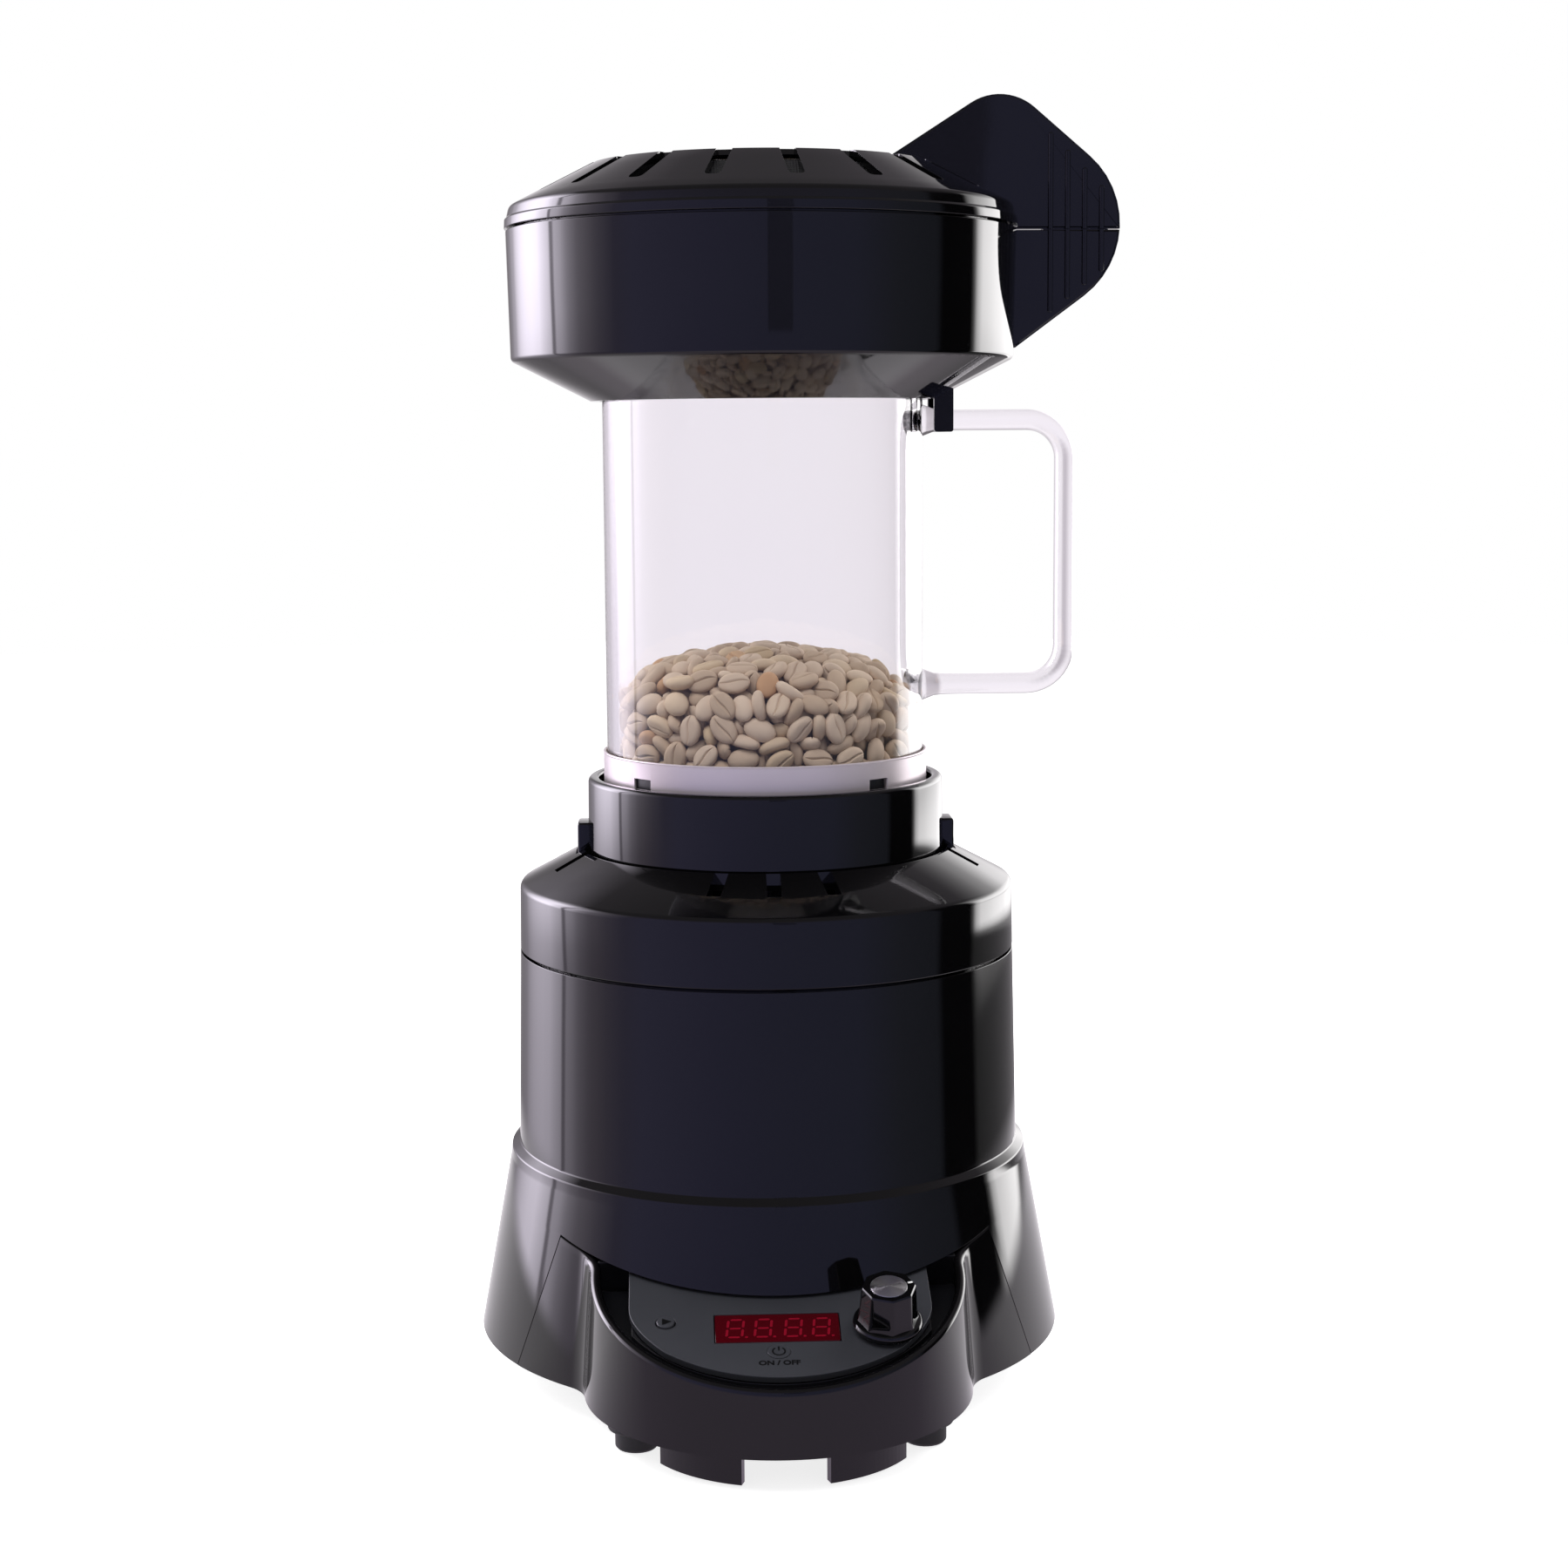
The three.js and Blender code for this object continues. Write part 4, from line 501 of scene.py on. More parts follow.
panel_side_y = -math.sqrt(panel_front_radius ** 2 - panel_half_width ** 2)
panel_turn = math.asin(-panel_side_y / panel_front_radius)
front_arc = []
for step in range(49):
    turn = math.pi + panel_turn + (math.pi - 2 * panel_turn) * step / 48
    front_arc.append((panel_front_radius * math.cos(turn), panel_front_radius * math.sin(turn)))
blend = 7
side_curve = []
start, corner, end = (Vector(point) for point in (
    (-panel_half_width, panel_side_y + 9), front_arc[0], front_arc[blend]))
for step in range(9):
    share = step / 8
    point = start * (1 - share) ** 2 + corner * 2 * share * (1 - share) + end * share * share
    side_curve.append((point.x, point.y))
panel_line = [(-panel_half_width, 3.0)] + side_curve + front_arc[blend + 1:-blend - 1]
panel_line += [(-x, y) for x, y in reversed(side_curve)] + [(panel_half_width, 3.0)]
panel = bmesh.new()
slice_of(panel, panel_line, -panel_thickness, 0, on_panel)
control_panel = assembled(panel, "control_panel_plate", "base", panel_grey, ["control_panel"])
window_x, window_y, window_width, window_height = -1.4, -28.5, 35.5, 13.0
run_x, run_y, power_x, power_y = -33.2, -25.3, -1.4, -39.7
knob_x, knob_y = 30.0, -30.0
panel_holes = bmesh.new()
on_window = on_panel @ Matrix.Translation((window_x, window_y, 0))
block(panel_holes, window_width + 0.5, window_height + 0.5, 12, on_window)
for x, y, radius in ((run_x, run_y, 2.9), (power_x, power_y, 3.3), (knob_x, knob_y, 4.3)):
    plug(panel_holes, radius, -6, 6, on_panel @ Matrix.Translation((x, y, 0)))
cut_away(control_panel, panel_holes)
edges_broken(control_panel, 0.28)


# Display window and module. A red tinted filter set flush in the panel, over a module with four
# seven-segment digits, which read as slightly brighter strokes through the filter.
window_red = moulded("window_red", (0.042, 0.0002, 0.002), (0.052, 0.0003, 0.003), 0.09,
                     marks=0.04, dust=0.15, ripple=0.15)
window = bmesh.new()
slice_of(window, eased([(window_x + sx * window_width / 2, window_y + sy * window_height / 2, 0.5)
                        for sx, sy in ((-1, -1), (1, -1), (1, 1), (-1, 1))], 3), -1.5, -0.1, on_panel)
display_window = assembled(window, "display_filter", "base", window_red, ["display_window"])
edges_broken(display_window, 0.15)
digit_red = moulded("digit_red", (0.15, 0.002, 0.01), (0.19, 0.004, 0.015), 0.12, dust=0.1)
tuned(shader_of(digit_red), {"Emission Color": (0.5, 0.01, 0.03, 1), "Emission Strength": 0.02})
digits = bmesh.new()
stroke_length, stroke_width, digit_slant = 3.9, 0.75, 0.1
digit_middles, digit_half_width, digit_half_height = (-12.0, -4.0, 4.6, 12.6), 2.2, 4.1
dot_aside, dot_radius, digit_low, digit_high = 3.1, 0.45, -0.12, -0.07
reach = stroke_length / 2 - 0.25
square, half = reach - stroke_width / 2, stroke_width / 2
strokes = [(0, level * digit_half_height, False) for level in (1, 0, -1)]
strokes += [(side * digit_half_width, level * digit_half_height / 2, True)
            for level in (1, -1) for side in (-1, 1)]
for middle in digit_middles:
    for along, across, upright in strokes:
        stroke = [(-reach, 0), (-square, -half), (square, -half),
                  (reach, 0), (square, half), (-square, half)]
        if upright:
            stroke = [(-y, x) for x, y in stroke]
        stroke = [(window_x + middle + along + x + digit_slant * (across + y), window_y + across + y)
                  for x, y in stroke]
        slice_of(digits, stroke, digit_low, digit_high, on_panel)
    dot_x, dot_y = window_x + middle + dot_aside, window_y - digit_half_height
    dot = [(dot_x + dot_radius * math.cos(a), dot_y + dot_radius * math.sin(a))
           for a in [i * math.pi / 6 for i in range(12)]]
    slice_of(digits, dot, digit_low, digit_high, on_panel)
display_digits = assembled(digits, "display_digits", "base", digit_red, sharp=30)


def finish_node(name, material):
    """A CAD node whose shape is right keeps it and gets its real finish."""
    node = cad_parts[name]
    if not node.material_slots:
        node.data.materials.append(material)
    for place in node.material_slots:
        place.material = material


dark_plastic = moulded("dark_plastic", (0.018, 0.018, 0.02), (0.03, 0.03, 0.032), 0.42,
                       marks=0.12, ripple=0.4, dust=0.3)
board_green = moulded("board_green", (0.008, 0.05, 0.02), (0.014, 0.075, 0.03), 0.4,
                      marks=0.1, ripple=0.6, size=3)
for name in ("display_module", "run_switch", "power_switch"):
    finish_node(name, dark_plastic)
finish_node("control_board", board_green)


# Push buttons. Two flat-topped keys of the panel's own grey, captured under it and sprung by the
# switches below. The run mark is printed on one, the power mark on the other.
def flat_key(name, radius, rise, edge, x, y, body, node):
    """A round key turned from its section: a retaining flange, a straight side, a rounded edge."""
    work = bmesh.new()
    flange, flange_low, flange_high = radius + 1.3, -3.6, -2.5
    profile = [(0, flange_low), (flange, flange_low), (flange, flange_high), (radius, flange_high)]
    for turn in quarter(6):
        profile.append((radius - edge + edge * math.cos(turn), rise - edge + edge * math.sin(turn)))
    turned(work, profile + [(0, rise)], 64)
    work.transform(on_panel @ Matrix.Translation((x, y, 0)))
    piece = assembled(work, name, body, panel_grey, [node], sharp=40)


run_rise, power_rise, ink_sunk, ink_proud = 0.5, 0.08, 0.02, 0.03
flat_key("run_button_key", 2.6, run_rise, 0.35, run_x, run_y, "run_key", "run_button")
flat_key("power_button_key", 3.24, power_rise, 0.1, power_x, power_y, "power_key", "power_button")
run_print = bmesh.new()
slice_of(run_print, [(run_x - 1.0, run_y - 1.55), (run_x + 1.8, run_y), (run_x - 1.0, run_y + 1.55)],
         run_rise - ink_sunk, run_rise + ink_proud, on_panel)
run_mark = assembled(run_print, "run_mark", "run_key", panel_ink, sharp=30)
power_print = bmesh.new()
ring_radius, ring_width = 1.75, 0.24
turns = [math.radians(90 + 34 + 292 * step / 28) for step in range(29)]
ring = []
for radius, way in ((ring_radius + ring_width, 1), (ring_radius - ring_width, -1)):
    ring += [(radius * math.cos(a), radius * math.sin(a)) for a in turns[::way]]
for outline in (ring, [(-0.24, 0.3), (0.24, 0.3), (0.24, 2.2), (-0.24, 2.2)]):
    slice_of(power_print, [(power_x + x, power_y + y) for x, y in outline],
             power_rise - ink_sunk, power_rise + ink_proud, on_panel)
power_mark = assembled(power_print, "power_mark", "power_key", panel_ink, sharp=30)

# The words under the power button, screen printed on the panel.
words = bpy.data.curves.new("switch_words", "FONT")
words.body = "ON / OFF"
words.align_x, words.align_y = "CENTER", "CENTER"
words.size, words.extrude, words.offset, words.space_character = 0.0028, 0.00002, 0.0001, 1.0
lettering = placed("switch_words", words)
shape = bpy.data.meshes.new_from_object(lettering.evaluated_get(bpy.context.evaluated_depsgraph_get()))
bpy.data.objects.remove(lettering)
words_below = 5.3
printed_at = Matrix.Translation((power_x / 1000, (power_y - words_below) / 1000, ink_proud / 1000))
shape.transform(in_frame @ on_panel @ Matrix.Scale(1000, 4) @ printed_at)
shape.materials.clear()
shape.materials.append(panel_ink)
switch_words = placed("switch_words", shape)
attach(switch_words, "base")


# Knob. An eight-sided grip of gloss black plastic on a dished skirt, with a spun aluminium disc
# let into its top and a white painted pointer. It is pushed onto the encoder's spindle.
knob_foot, knob_top = 0.9, 14.5
knob_flats_turned = math.radians(4)
on_knob = on_panel @ Matrix.Translation((knob_x, knob_y, 0))
knob_body = lathed([
    (2.9, knob_foot, 0), (9.2, knob_foot, 0.6), (10.3, knob_foot + 1.5, 1.2), (9.5, knob_foot + 2.6, 0.8),
    (8.0, knob_foot + 3.0, 0), (2.9, knob_foot + 3.0, 0),
], 5, 96)


def octagon(radius, height, round_share, columns=96):
    """Eight soft-edged sides: a circle pulled in towards a flat in the middle of each side."""
    row = []
    for i in range(columns):
        turn = 2 * math.pi * (i + 0.5) / columns + knob_flats_turned
        into = (turn - knob_flats_turned) % (math.pi / 4) - math.pi / 8
        flat = math.cos(math.pi / 8) / math.cos(into)
        reach = radius * min(1.0 - 0.02 * round_share, flat * (1 - 0.008 * round_share))
        row.append((reach * math.cos(turn), reach * math.sin(turn), height))
    return row


grip_rows = [octagon(*row) for row in (
    (9.0, knob_foot + 2.7, 0.0), (8.75, knob_foot + 3.4, 0.2), (8.5, knob_foot + 5, 0.5),
    (7.95, knob_top - 0.8, 1), (7.87, knob_top - 0.3, 1), (7.6, knob_top, 1))]
recess_radius, recess_depth = 5.6, 1.2
recess = [(recess_radius * x / math.hypot(x, y), recess_radius * y / math.hypot(x, y))
          for x, y, z in grip_rows[-1]]
grip_rows += [[(x, y, z) for x, y in recess] for z in (knob_top, knob_top - recess_depth)]
lines = skinned(knob_body, grip_rows)
knob_body.faces.new(lines[-1])
knob_body.transform(on_knob)
knob_piece = assembled(knob_body, "knob_grip", "knob_dial", gloss_black, ["knob"], sharp=40)
spun_metal = moulded("spun_metal", (0.93, 0.92, 0.93), (0.99, 0.98, 0.99), 0.3,
                     marks=0.06, ripple=0.0, dust=0.02, metallic=1.0)
spun_shader = tuned(shader_of(spun_metal), {"Anisotropic": 0.95, "Anisotropic Rotation": 0.25})
spin = made(spun_metal.node_tree, "Tangent", direction_type="RADIAL", axis="Z")
wired(spun_metal.node_tree, (spin, spun_shader, "Tangent"))
disc_radius, disc_foot, disc_top = 5.3, knob_top - 0.9, knob_top + 0.02
disc = lathed([
    (0, disc_foot, 0), (disc_radius, disc_foot, 0), (disc_radius, disc_top, 0.15), (0, disc_top, 0),
], 3, 96, on_knob)
disc_piece = assembled(disc, "knob_disc_spun", "knob_dial", spun_metal, ["knob_disc"], sharp=40)
pointer_white = moulded("pointer_white", (0.8, 0.8, 0.8), (0.88, 0.88, 0.88), 0.4, dust=0.1)
pointer = bmesh.new()
pointer_line = eased([(5.7, -0.35, 0), (7.1, -0.35, 0.2), (7.1, 0.35, 0.2), (5.7, 0.35, 0)], 3)
pointer_place = on_knob @ Matrix.Translation((0, 0, knob_top)) @ Matrix.Rotation(math.radians(14), 4, "Z")
slice_of(pointer, pointer_line, -0.02, 0.04, pointer_place)
pointer_piece = assembled(pointer, "knob_pointer", "knob_dial", pointer_white)
steel = moulded("steel", (0.42, 0.42, 0.43), (0.55, 0.55, 0.56), 0.3,
                marks=0.12, ripple=0.1, metallic=1.0, size=2)
for name in ("encoder_body", "encoder_spindle"):
    finish_node(name, steel)
finish_node("encoder_plunger", dark_plastic)


# Bottom plate, feet and cord inlet. A black plate with a round intake grille closes the base and
# carries two curved legs in front; rubber buttons lift the machine; a bushing takes the cord.
finish_node("bottom_plate", gloss_black)
for number in range(1, 5):
    finish_node(f"plate_screw_{number}", steel)
rubber = moulded("rubber", (0.012, 0.012, 0.012), (0.022, 0.022, 0.022), 0.55,
                 marks=0.15, ripple=0.5, dust=0.5)
foot_corners = [(0, 0, 0), (5.6, 0, 0.5), (6.3, 0.8, 0.6), (6.3, 5.2, 0.5), (8.4, 6.0, 0.9), (8.4, 12.7, 0),
                (0, 12.7, 0)]
for name in ("foot_front_left", "foot_front_right", "foot_side_left", "foot_side_right", "foot_rear"):
    low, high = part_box(name)
    x, y = ((low[axis] + high[axis]) * 500 - machine_axis[axis] * 1000 for axis in (0, 1))
    work = lathed(foot_corners, 5, 64, Matrix.Translation((x, y, 0)))
    button = assembled(work, f"{name}_button", "base", rubber, [name], sharp=50)
bushing = lathed([
    (4.6, -12, 0.3), (5.8, -12, 0.3), (5.8, 0.3, 0), (7.6, 0.3, 0.2), (7.4, 1.7, 0.6), (4.6, 1.7, 0.5),
], 4, 64, inlet_seat)
cord_bushing = assembled(bushing, "cord_bushing", "base", rubber, ["cord_inlet"], sharp=50)


# Blower, motor and heater. Closed in by the housing: an impeller in its box, the motor above it
# in the air duct, and a heating coil on a mica cross inside a steel sleeve.
mica_sheet = moulded("mica", (0.5, 0.4, 0.24), (0.62, 0.52, 0.34), 0.5, marks=0.2, ripple=0.5, size=3)
for name in ("blower_housing", "impeller", "air_duct", "thermal_cutout"):
    finish_node(name, dark_plastic)
for name in ("motor_shaft", "motor", "heater_sleeve", "heater_coil"):
    finish_node(name, steel)
finish_node("mica_cross", mica_sheet)
finish_node("power_board", board_green)


# Top cap. A gloss black moulding set on the drum over a dark seam: a short wall, a sloping
# shoulder with radial air vents, and a sunken seat with two notches for the collar's lugs.
seat_height, vent_height = 160.57, 162
vent_length, vent_width, vent_cut, vent_reach = 10.0, 4.2, 16, 62.3
vent_angles = (-105.3, -90, -74.7, 74.7, 90, 105.3, -167, -13, 13, 167)
notch_span, notch_width, notch_rise = 119.2, 13.2, 8.9
cap = lathed([
    (73.3, 127.6, 0), (74.7, 127.6, 0), (74.7, 132.6, 0), (77.6, 132.6, 0.4), (77.3, 152.9, 2.6),
    (57.0, 163.6, 0.5), (56.6, seat_height, 0.2), (46.2, seat_height, 0.3), (46.2, 158.17, 0),
    (60.4, 158.17, 0), (72.7, 151.0, 0), (73.3, 149.0, 0),
], 7, 256)
top_cap = assembled(cap, "cap_shell", "base", gloss_black, ["top_cap"])


def about_axis(angle, x, z):
    """A place beside the machine's axis, turned round it by an angle in degrees."""
    return Matrix.Rotation(math.radians(angle), 4, "Z") @ Matrix.Translation((x, 0, z))


vents = bmesh.new()
for angle in vent_angles:
    block(vents, vent_length, vent_width, vent_cut, about_axis(angle, vent_reach, vent_height))
block(vents, notch_span, notch_width, notch_rise, (0, 0, seat_height + notch_rise / 2))
cut_away(top_cap, vents)
edges_broken(top_cap, 0.3, 40)


# Chamber collar. A thick gloss black ring that takes the chamber's metal band, with a lug on
# either side that drops into the cap's notches. A soft grey gasket lies on its inner shelf.
collar = lathed([
    (44.5, 160.87, 0.3), (55.8, 160.87, 0.3), (55.5, 185.97, 1.6), (52.0, 185.97, 1.0), (52.0, 165.97, 0.3),
    (44.5, 165.97, 0.5),
], 6, 256)
lug_size, lug_reach, lug_height = (5.0, 12.0, 10.1), 56.5, 166.62


def joined(work, part):
    """Adds a part's faces to a body and drops the part."""
    work.from_mesh(mesh_of("part", part))


for side in (-1, 1):
    lug = bmesh.new()
    block(lug, *lug_size, (side * lug_reach, 0, lug_height))
    bmesh.ops.bevel(lug, geom=lug.edges[:], offset=0.9, segments=4, affect="EDGES", profile=0.5)
    joined(collar, lug)
chamber_collar = assembled(collar, "collar_ring", "base", gloss_black, ["chamber_collar"], sharp=50)
seal_grey = moulded("seal_grey", (0.32, 0.31, 0.3), (0.42, 0.41, 0.4), 0.6, marks=0.1, ripple=0.3, size=2)
finish_node("seat_gasket", seal_grey)


# Chamber band. A drawn band of pale satin metal round the glass's foot, with four small windows,
# each with a tab bent in below it. The perforated air plate sits inside it.
band_metal = moulded("band_metal", (0.55, 0.49, 0.52), (0.63, 0.56, 0.6), 0.28,
                     marks=0.1, ripple=0.15, metallic=0.5)
band_outer, band_inner, band_foot = 50.5, 49.7, 168.57
band = lathed([
    (44.8, band_foot, 0), (49.9, band_foot, 0), (band_outer, 169.2, 0.5), (band_outer, 193.5, 0.3),
    (50.75, 193.9, 0.25), (50.3, 194.17, 0.2), (band_inner, 194.0, 0.2), (band_inner, 169.57, 0),
    (44.8, 169.57, 0),
], 3, 256)
chamber_band = assembled(band, "chamber_band_drawn", "chamber", band_metal, ["chamber_band"])
band_windows = bmesh.new()
window_angles, band_window, band_window_height = (40.5, 130.5, 220.5, 310.5), (12, 7.5, 4.0), 186.6
for angle in window_angles:
    block(band_windows, *band_window, about_axis(angle, band_outer, band_window_height))
cut_away(chamber_band, band_windows)
edges_broken(chamber_band, 0.15, 40)
tabs, window_shade = bmesh.new(), bmesh.new()
tab_bend = ((50.35, 184.3), (50.2, 184.8), (49.85, 185.3), (49.6, 185.45), (49.6, 185.1), (49.75, 184.3))
for angle in window_angles:
    turn = Matrix.Rotation(math.radians(angle), 4, "Z")
    rows = [[turn @ Vector((out, y, height)) for y in (-3.4, -1.2, 1.2, 3.4)] for out, height in tab_bend]
    skinned(tabs, rows, around=False)
    # Behind each window two thin sheets in the wells' black are painted shade: they stand in for the shade
    # inside the band and are no part of the machine.
    for out in (49.5, 49.62):
        across = [(math.sqrt(out * out - y * y), y) for y in (-4.6, -2.3, 0, 2.3, 4.6)]
        rows = [[turn @ Vector((x, y, z)) for x, y in across] for z in (183.5, 189.2)]
        skinned(window_shade, rows, around=False)
band_tabs = assembled(tabs, "chamber_band_tabs", "chamber", band_metal)
band_window_shade = assembled(window_shade, "chamber_band_window_shade", "chamber", well_black)
finish_node("air_diffuser", steel)
finish_node("glass_gasket", seal_grey)


# Glass jug. A straight tube of clear borosilicate glass, 3.6 mm thick with fire-polished rims,
# and an oval rod bent into a handle and fused to it while hot.
glass_foot, glass_top, glass_outer, glass_inner = 187.77, 304.17, 49.4, 45.8
clear_glass = finish("clear_glass", {"Transmission Weight": 1.0, "IOR": 1.46})
glass_tree, glass_shader = clear_glass.node_tree, shader_of(clear_glass)
glass_marks = made(glass_tree, "Group", node_tree=surface_marks)
tuned(glass_marks, {"Roughness": 0.0, "Marks": 0.012, "Ripple": 0.05, "Dust": 0.03, "Size": 0.7})
glass_bump = made(glass_tree, "Bump", {"Distance": 0.0003})
glass_tint = made(
    glass_tree, "Mix", {"A": (0.97, 0.965, 0.975, 1), "B": (0.985, 0.985, 0.985, 1)}, data_type="RGBA")
glass_drift = made(glass_tree, "TexNoise", {"Scale": 12})
glass_where, glass_mix, glass_path = (
    made(glass_tree, kind) for kind in ("TexCoord", "MixShader", "LightPath"))
glass_clear = made(glass_tree, "BsdfTransparent", {"Color": (0.99, 0.99, 0.99, 1)})
# Light reaches the beans straight through the wall, which a shadow ray could not do by itself.
wired(
    glass_tree,
    ((glass_where, "Object"), glass_drift, "Vector"), (glass_drift, glass_tint, "Factor"),
    ((glass_tint, "Result"), glass_shader, "Base Color"),
    ((glass_marks, "Roughness"), glass_shader, "Roughness"),
    ((glass_marks, "Height"), glass_bump, "Height"), (glass_bump, glass_shader, "Normal"),
    ((glass_path, "Is Shadow Ray"), glass_mix, "Fac"), (glass_shader, glass_mix, 1),
    (glass_clear, glass_mix, 2), (glass_mix, glass_tree.nodes["Material Output"], "Surface"),
)
# The handle's line: out along the upper arm, round the bend, down, and back in along the lower.
arm_high, arm_low, arm_start, upright, bend = 295.57, 213.57, 45.9, 94.0, 12.0
path = [(arm_start + (upright - bend - arm_start) * step / 10, arm_high) for step in range(11)]
for turn in quarter(12, 1):
    path.append((upright - bend + bend * math.sin(turn), arm_high - bend + bend * math.cos(turn)))
half_way = len(path) + 1
path += [(upright, arm_high - bend - (arm_high - arm_low - 2 * bend) * step / 16) for step in range(1, 16)]
path += [(x, arm_high + arm_low - z) for x, z in reversed(path[:half_way])]
wall_line = eased([(glass_inner, glass_foot, 0.5), (glass_outer, glass_foot, 2.9),
                   (glass_outer, glass_top, 0.9), (glass_inner, glass_top, 0.9)], 5)
wall_rows = []
for i, (radius, level_z) in enumerate(wall_line):
    next_radius, next_z = wall_line[(i + 1) % len(wall_line)]
    pieces = max(1, round(abs(next_z - level_z) / 4.0))
    wall_rows += [(radius + (next_radius - radius) * k / pieces, level_z + (next_z - level_z) * k / pieces)
                  for k in range(pieces)]
tube = bmesh.new()
turned(tube, wall_rows, 256)
glass_jug = assembled(tube, "glass_jug_blown", "chamber", clear_glass, ["glass_jug"])
rod_half_thick, rod_half_wide, rod_rows = 3.2, 6.0, []
for i, (x, z) in enumerate(path):
    before, after = path[max(0, i - 1)], path[min(len(path) - 1, i + 1)]
    along = Vector((after[0] - before[0], after[1] - before[1])).normalized()
    across = Vector((along.y, -along.x))
    from_wall = max(0.0, x - glass_outer)
    flare = 1 + 0.55 * math.exp(-from_wall / 2.2)
    ring = []
    for j in range(40):
        turn = 2 * math.pi * (j + 0.5) / 40
        thick, wide = rod_half_thick * flare * math.cos(turn), rod_half_wide * flare * math.sin(turn)
        ring.append((x + across.x * thick, wide, z + across.y * thick))
    rod_rows.append(ring)
rod = bmesh.new()
capped(rod, rod_rows)
cut_away(glass_jug, rod, "UNION")
fused = glass_jug.data
fused.materials.clear()
fused.materials.append(clear_glass)
for face in fused.polygons:
    face.use_smooth, face.material_index = True, 0
fused.set_sharp_from_angle(angle=math.radians(50))


# Green coffee beans. A few hundred loose beans lie heaped on the air plate and against the glass,
# each about 9.7 mm long with a round back, a flat face and a crease; pale buff, a few golden.
heap_foot, heap_radius, heap_wall_rise, heap_rise = 186.07, glass_inner - 0.4, 26.0, 42.2
bean_half = Vector((9.7, 6.9, 5.0)) / 2
bean_row_pitch, bean_pitch, bean_stray, bean_lean = 8.8, 11.2, 1.2, math.radians(60)
bean_face_up, bean_face_lift = 0.45, 0.9
heap_line = [Vector(point) for point in (
    (heap_radius, 0), (heap_radius, heap_wall_rise), (heap_radius * 0.83, (heap_wall_rise + heap_rise) / 2),
    (heap_radius * 0.59, (heap_wall_rise + 3 * heap_rise) / 4), (0, heap_rise),
)]
heap_length = sum((end - start).length for start, end in zip(heap_line, heap_line[1:]))


def scattered(number):
    """A share from 0 to 1 that jumps about from one number to the next and is always the same."""
    wave = math.sin(number * 12.9898) * 43758.5453
    return wave - math.floor(wave)


def along_heap(distance):
    """The point a distance up the heap's side and over its top, and how the heap slopes there."""
    for start, end in zip(heap_line, heap_line[1:]):
        length = (end - start).length
        if distance <= length or end is heap_line[-1]:
            along = (end - start) / length
            return start + along * min(distance, length), math.atan2(along.y, -along.x)
        distance -= length


def bean_pose(number, distance, turn, sunk):
    """A bean that touches the heap's outline from inside, or lies sunk under it."""
    point, slope = along_heap(distance)
    pose = Matrix.Rotation(slope, 4, "Y") @ Matrix.Rotation(math.pi * scattered(number + 0.25), 4, "Z")
    pose = pose @ Matrix.Rotation(bean_lean * (scattered(number + 0.5) - 0.5), 4, "X")

    def reach(direction):
        along = pose.to_3x3().transposed() @ direction
        return Vector(a * b for a, b in zip(along, bean_half)).length

    outward = Vector((math.sin(slope), 0, math.cos(slope)))
    middle = Vector((point.x, 0, point.y)) - outward * (reach(outward) + sunk)
    middle.x = min(middle.x, heap_radius - reach(Vector((1, 0, 0))))
    pose.translation = middle
    if scattered(number + 0.35) < bean_face_up:
        pose = pose @ Matrix.Translation((0, 0, bean_face_lift))
    else:
        pose = pose @ Matrix.Rotation(math.pi, 4, "X")
    return Matrix.Translation((0, 0, heap_foot)) @ Matrix.Rotation(turn, 4, "Z") @ pose


def bean_shape(rows=12):
    """One bean of half sizes 1: rings along its length, round below and flat with a crease above."""
    flat = (0.96, 0.85, 0.66, 0.42, 0.22, 0.13, 0.05, 0.0, -0.05, -0.13, -0.22, -0.42, -0.66, -0.85, -0.96)
    rings = []
    for i in range(rows + 1):
        x = math.cos(math.pi * i / rows)
        width = math.sqrt(max(0.0, 1 - x * x))
        if i in (0, rows):
            rings.append([Vector((x, 0, 0))])
            continue
        ring = []
        for share in flat:
            y = share * width + 0.13 * width * math.sin(2.6 * x) * (1 - abs(share))
            rise = 0.62 * (1 - min(1.0, x * x + y * y) ** 3) ** 0.5
            crease = {0.0: -0.3, 0.05: -0.16, 0.13: 0.025, 0.22: 0.03}.get(abs(share), 0.0)
            ring.append(Vector((x, y, rise + crease * (1 - x ** 6))))
        for step in range(10):
            turn = math.pi * (1 + step / 9)
            ring.append(Vector((x, width * math.cos(turn), width * math.sin(turn) * 0.98)))
        rings.append(ring)
    return rings


bean_rings = bean_shape()
heap = bmesh.new()
tone_layer = heap.verts.layers.float.new("bean_tone")


def add_bean(pose, tone, size):
    """One bean's faces, with its tone kept in a layer that the finish reads."""
    lines = []
    for ring in bean_rings:
        line = []
        for point in ring:
            spot = pose @ Vector(a * b * size for a, b in zip(point, bean_half))
            vertex = heap.verts.new(spot)
            vertex[tone_layer] = tone
            line.append(vertex)
        lines.append(line)
    for low, high in zip(lines, lines[1:]):
        count = max(len(low), len(high))
        for j in range(count):
            k = (j + 1) % count
            if len(low) == 1:
                heap.faces.new((low[0], high[j], high[k]))
            elif len(high) == 1:
                heap.faces.new((low[k], low[j], high[0]))
            else:
                heap.faces.new((low[k], low[j], high[j], high[k]))


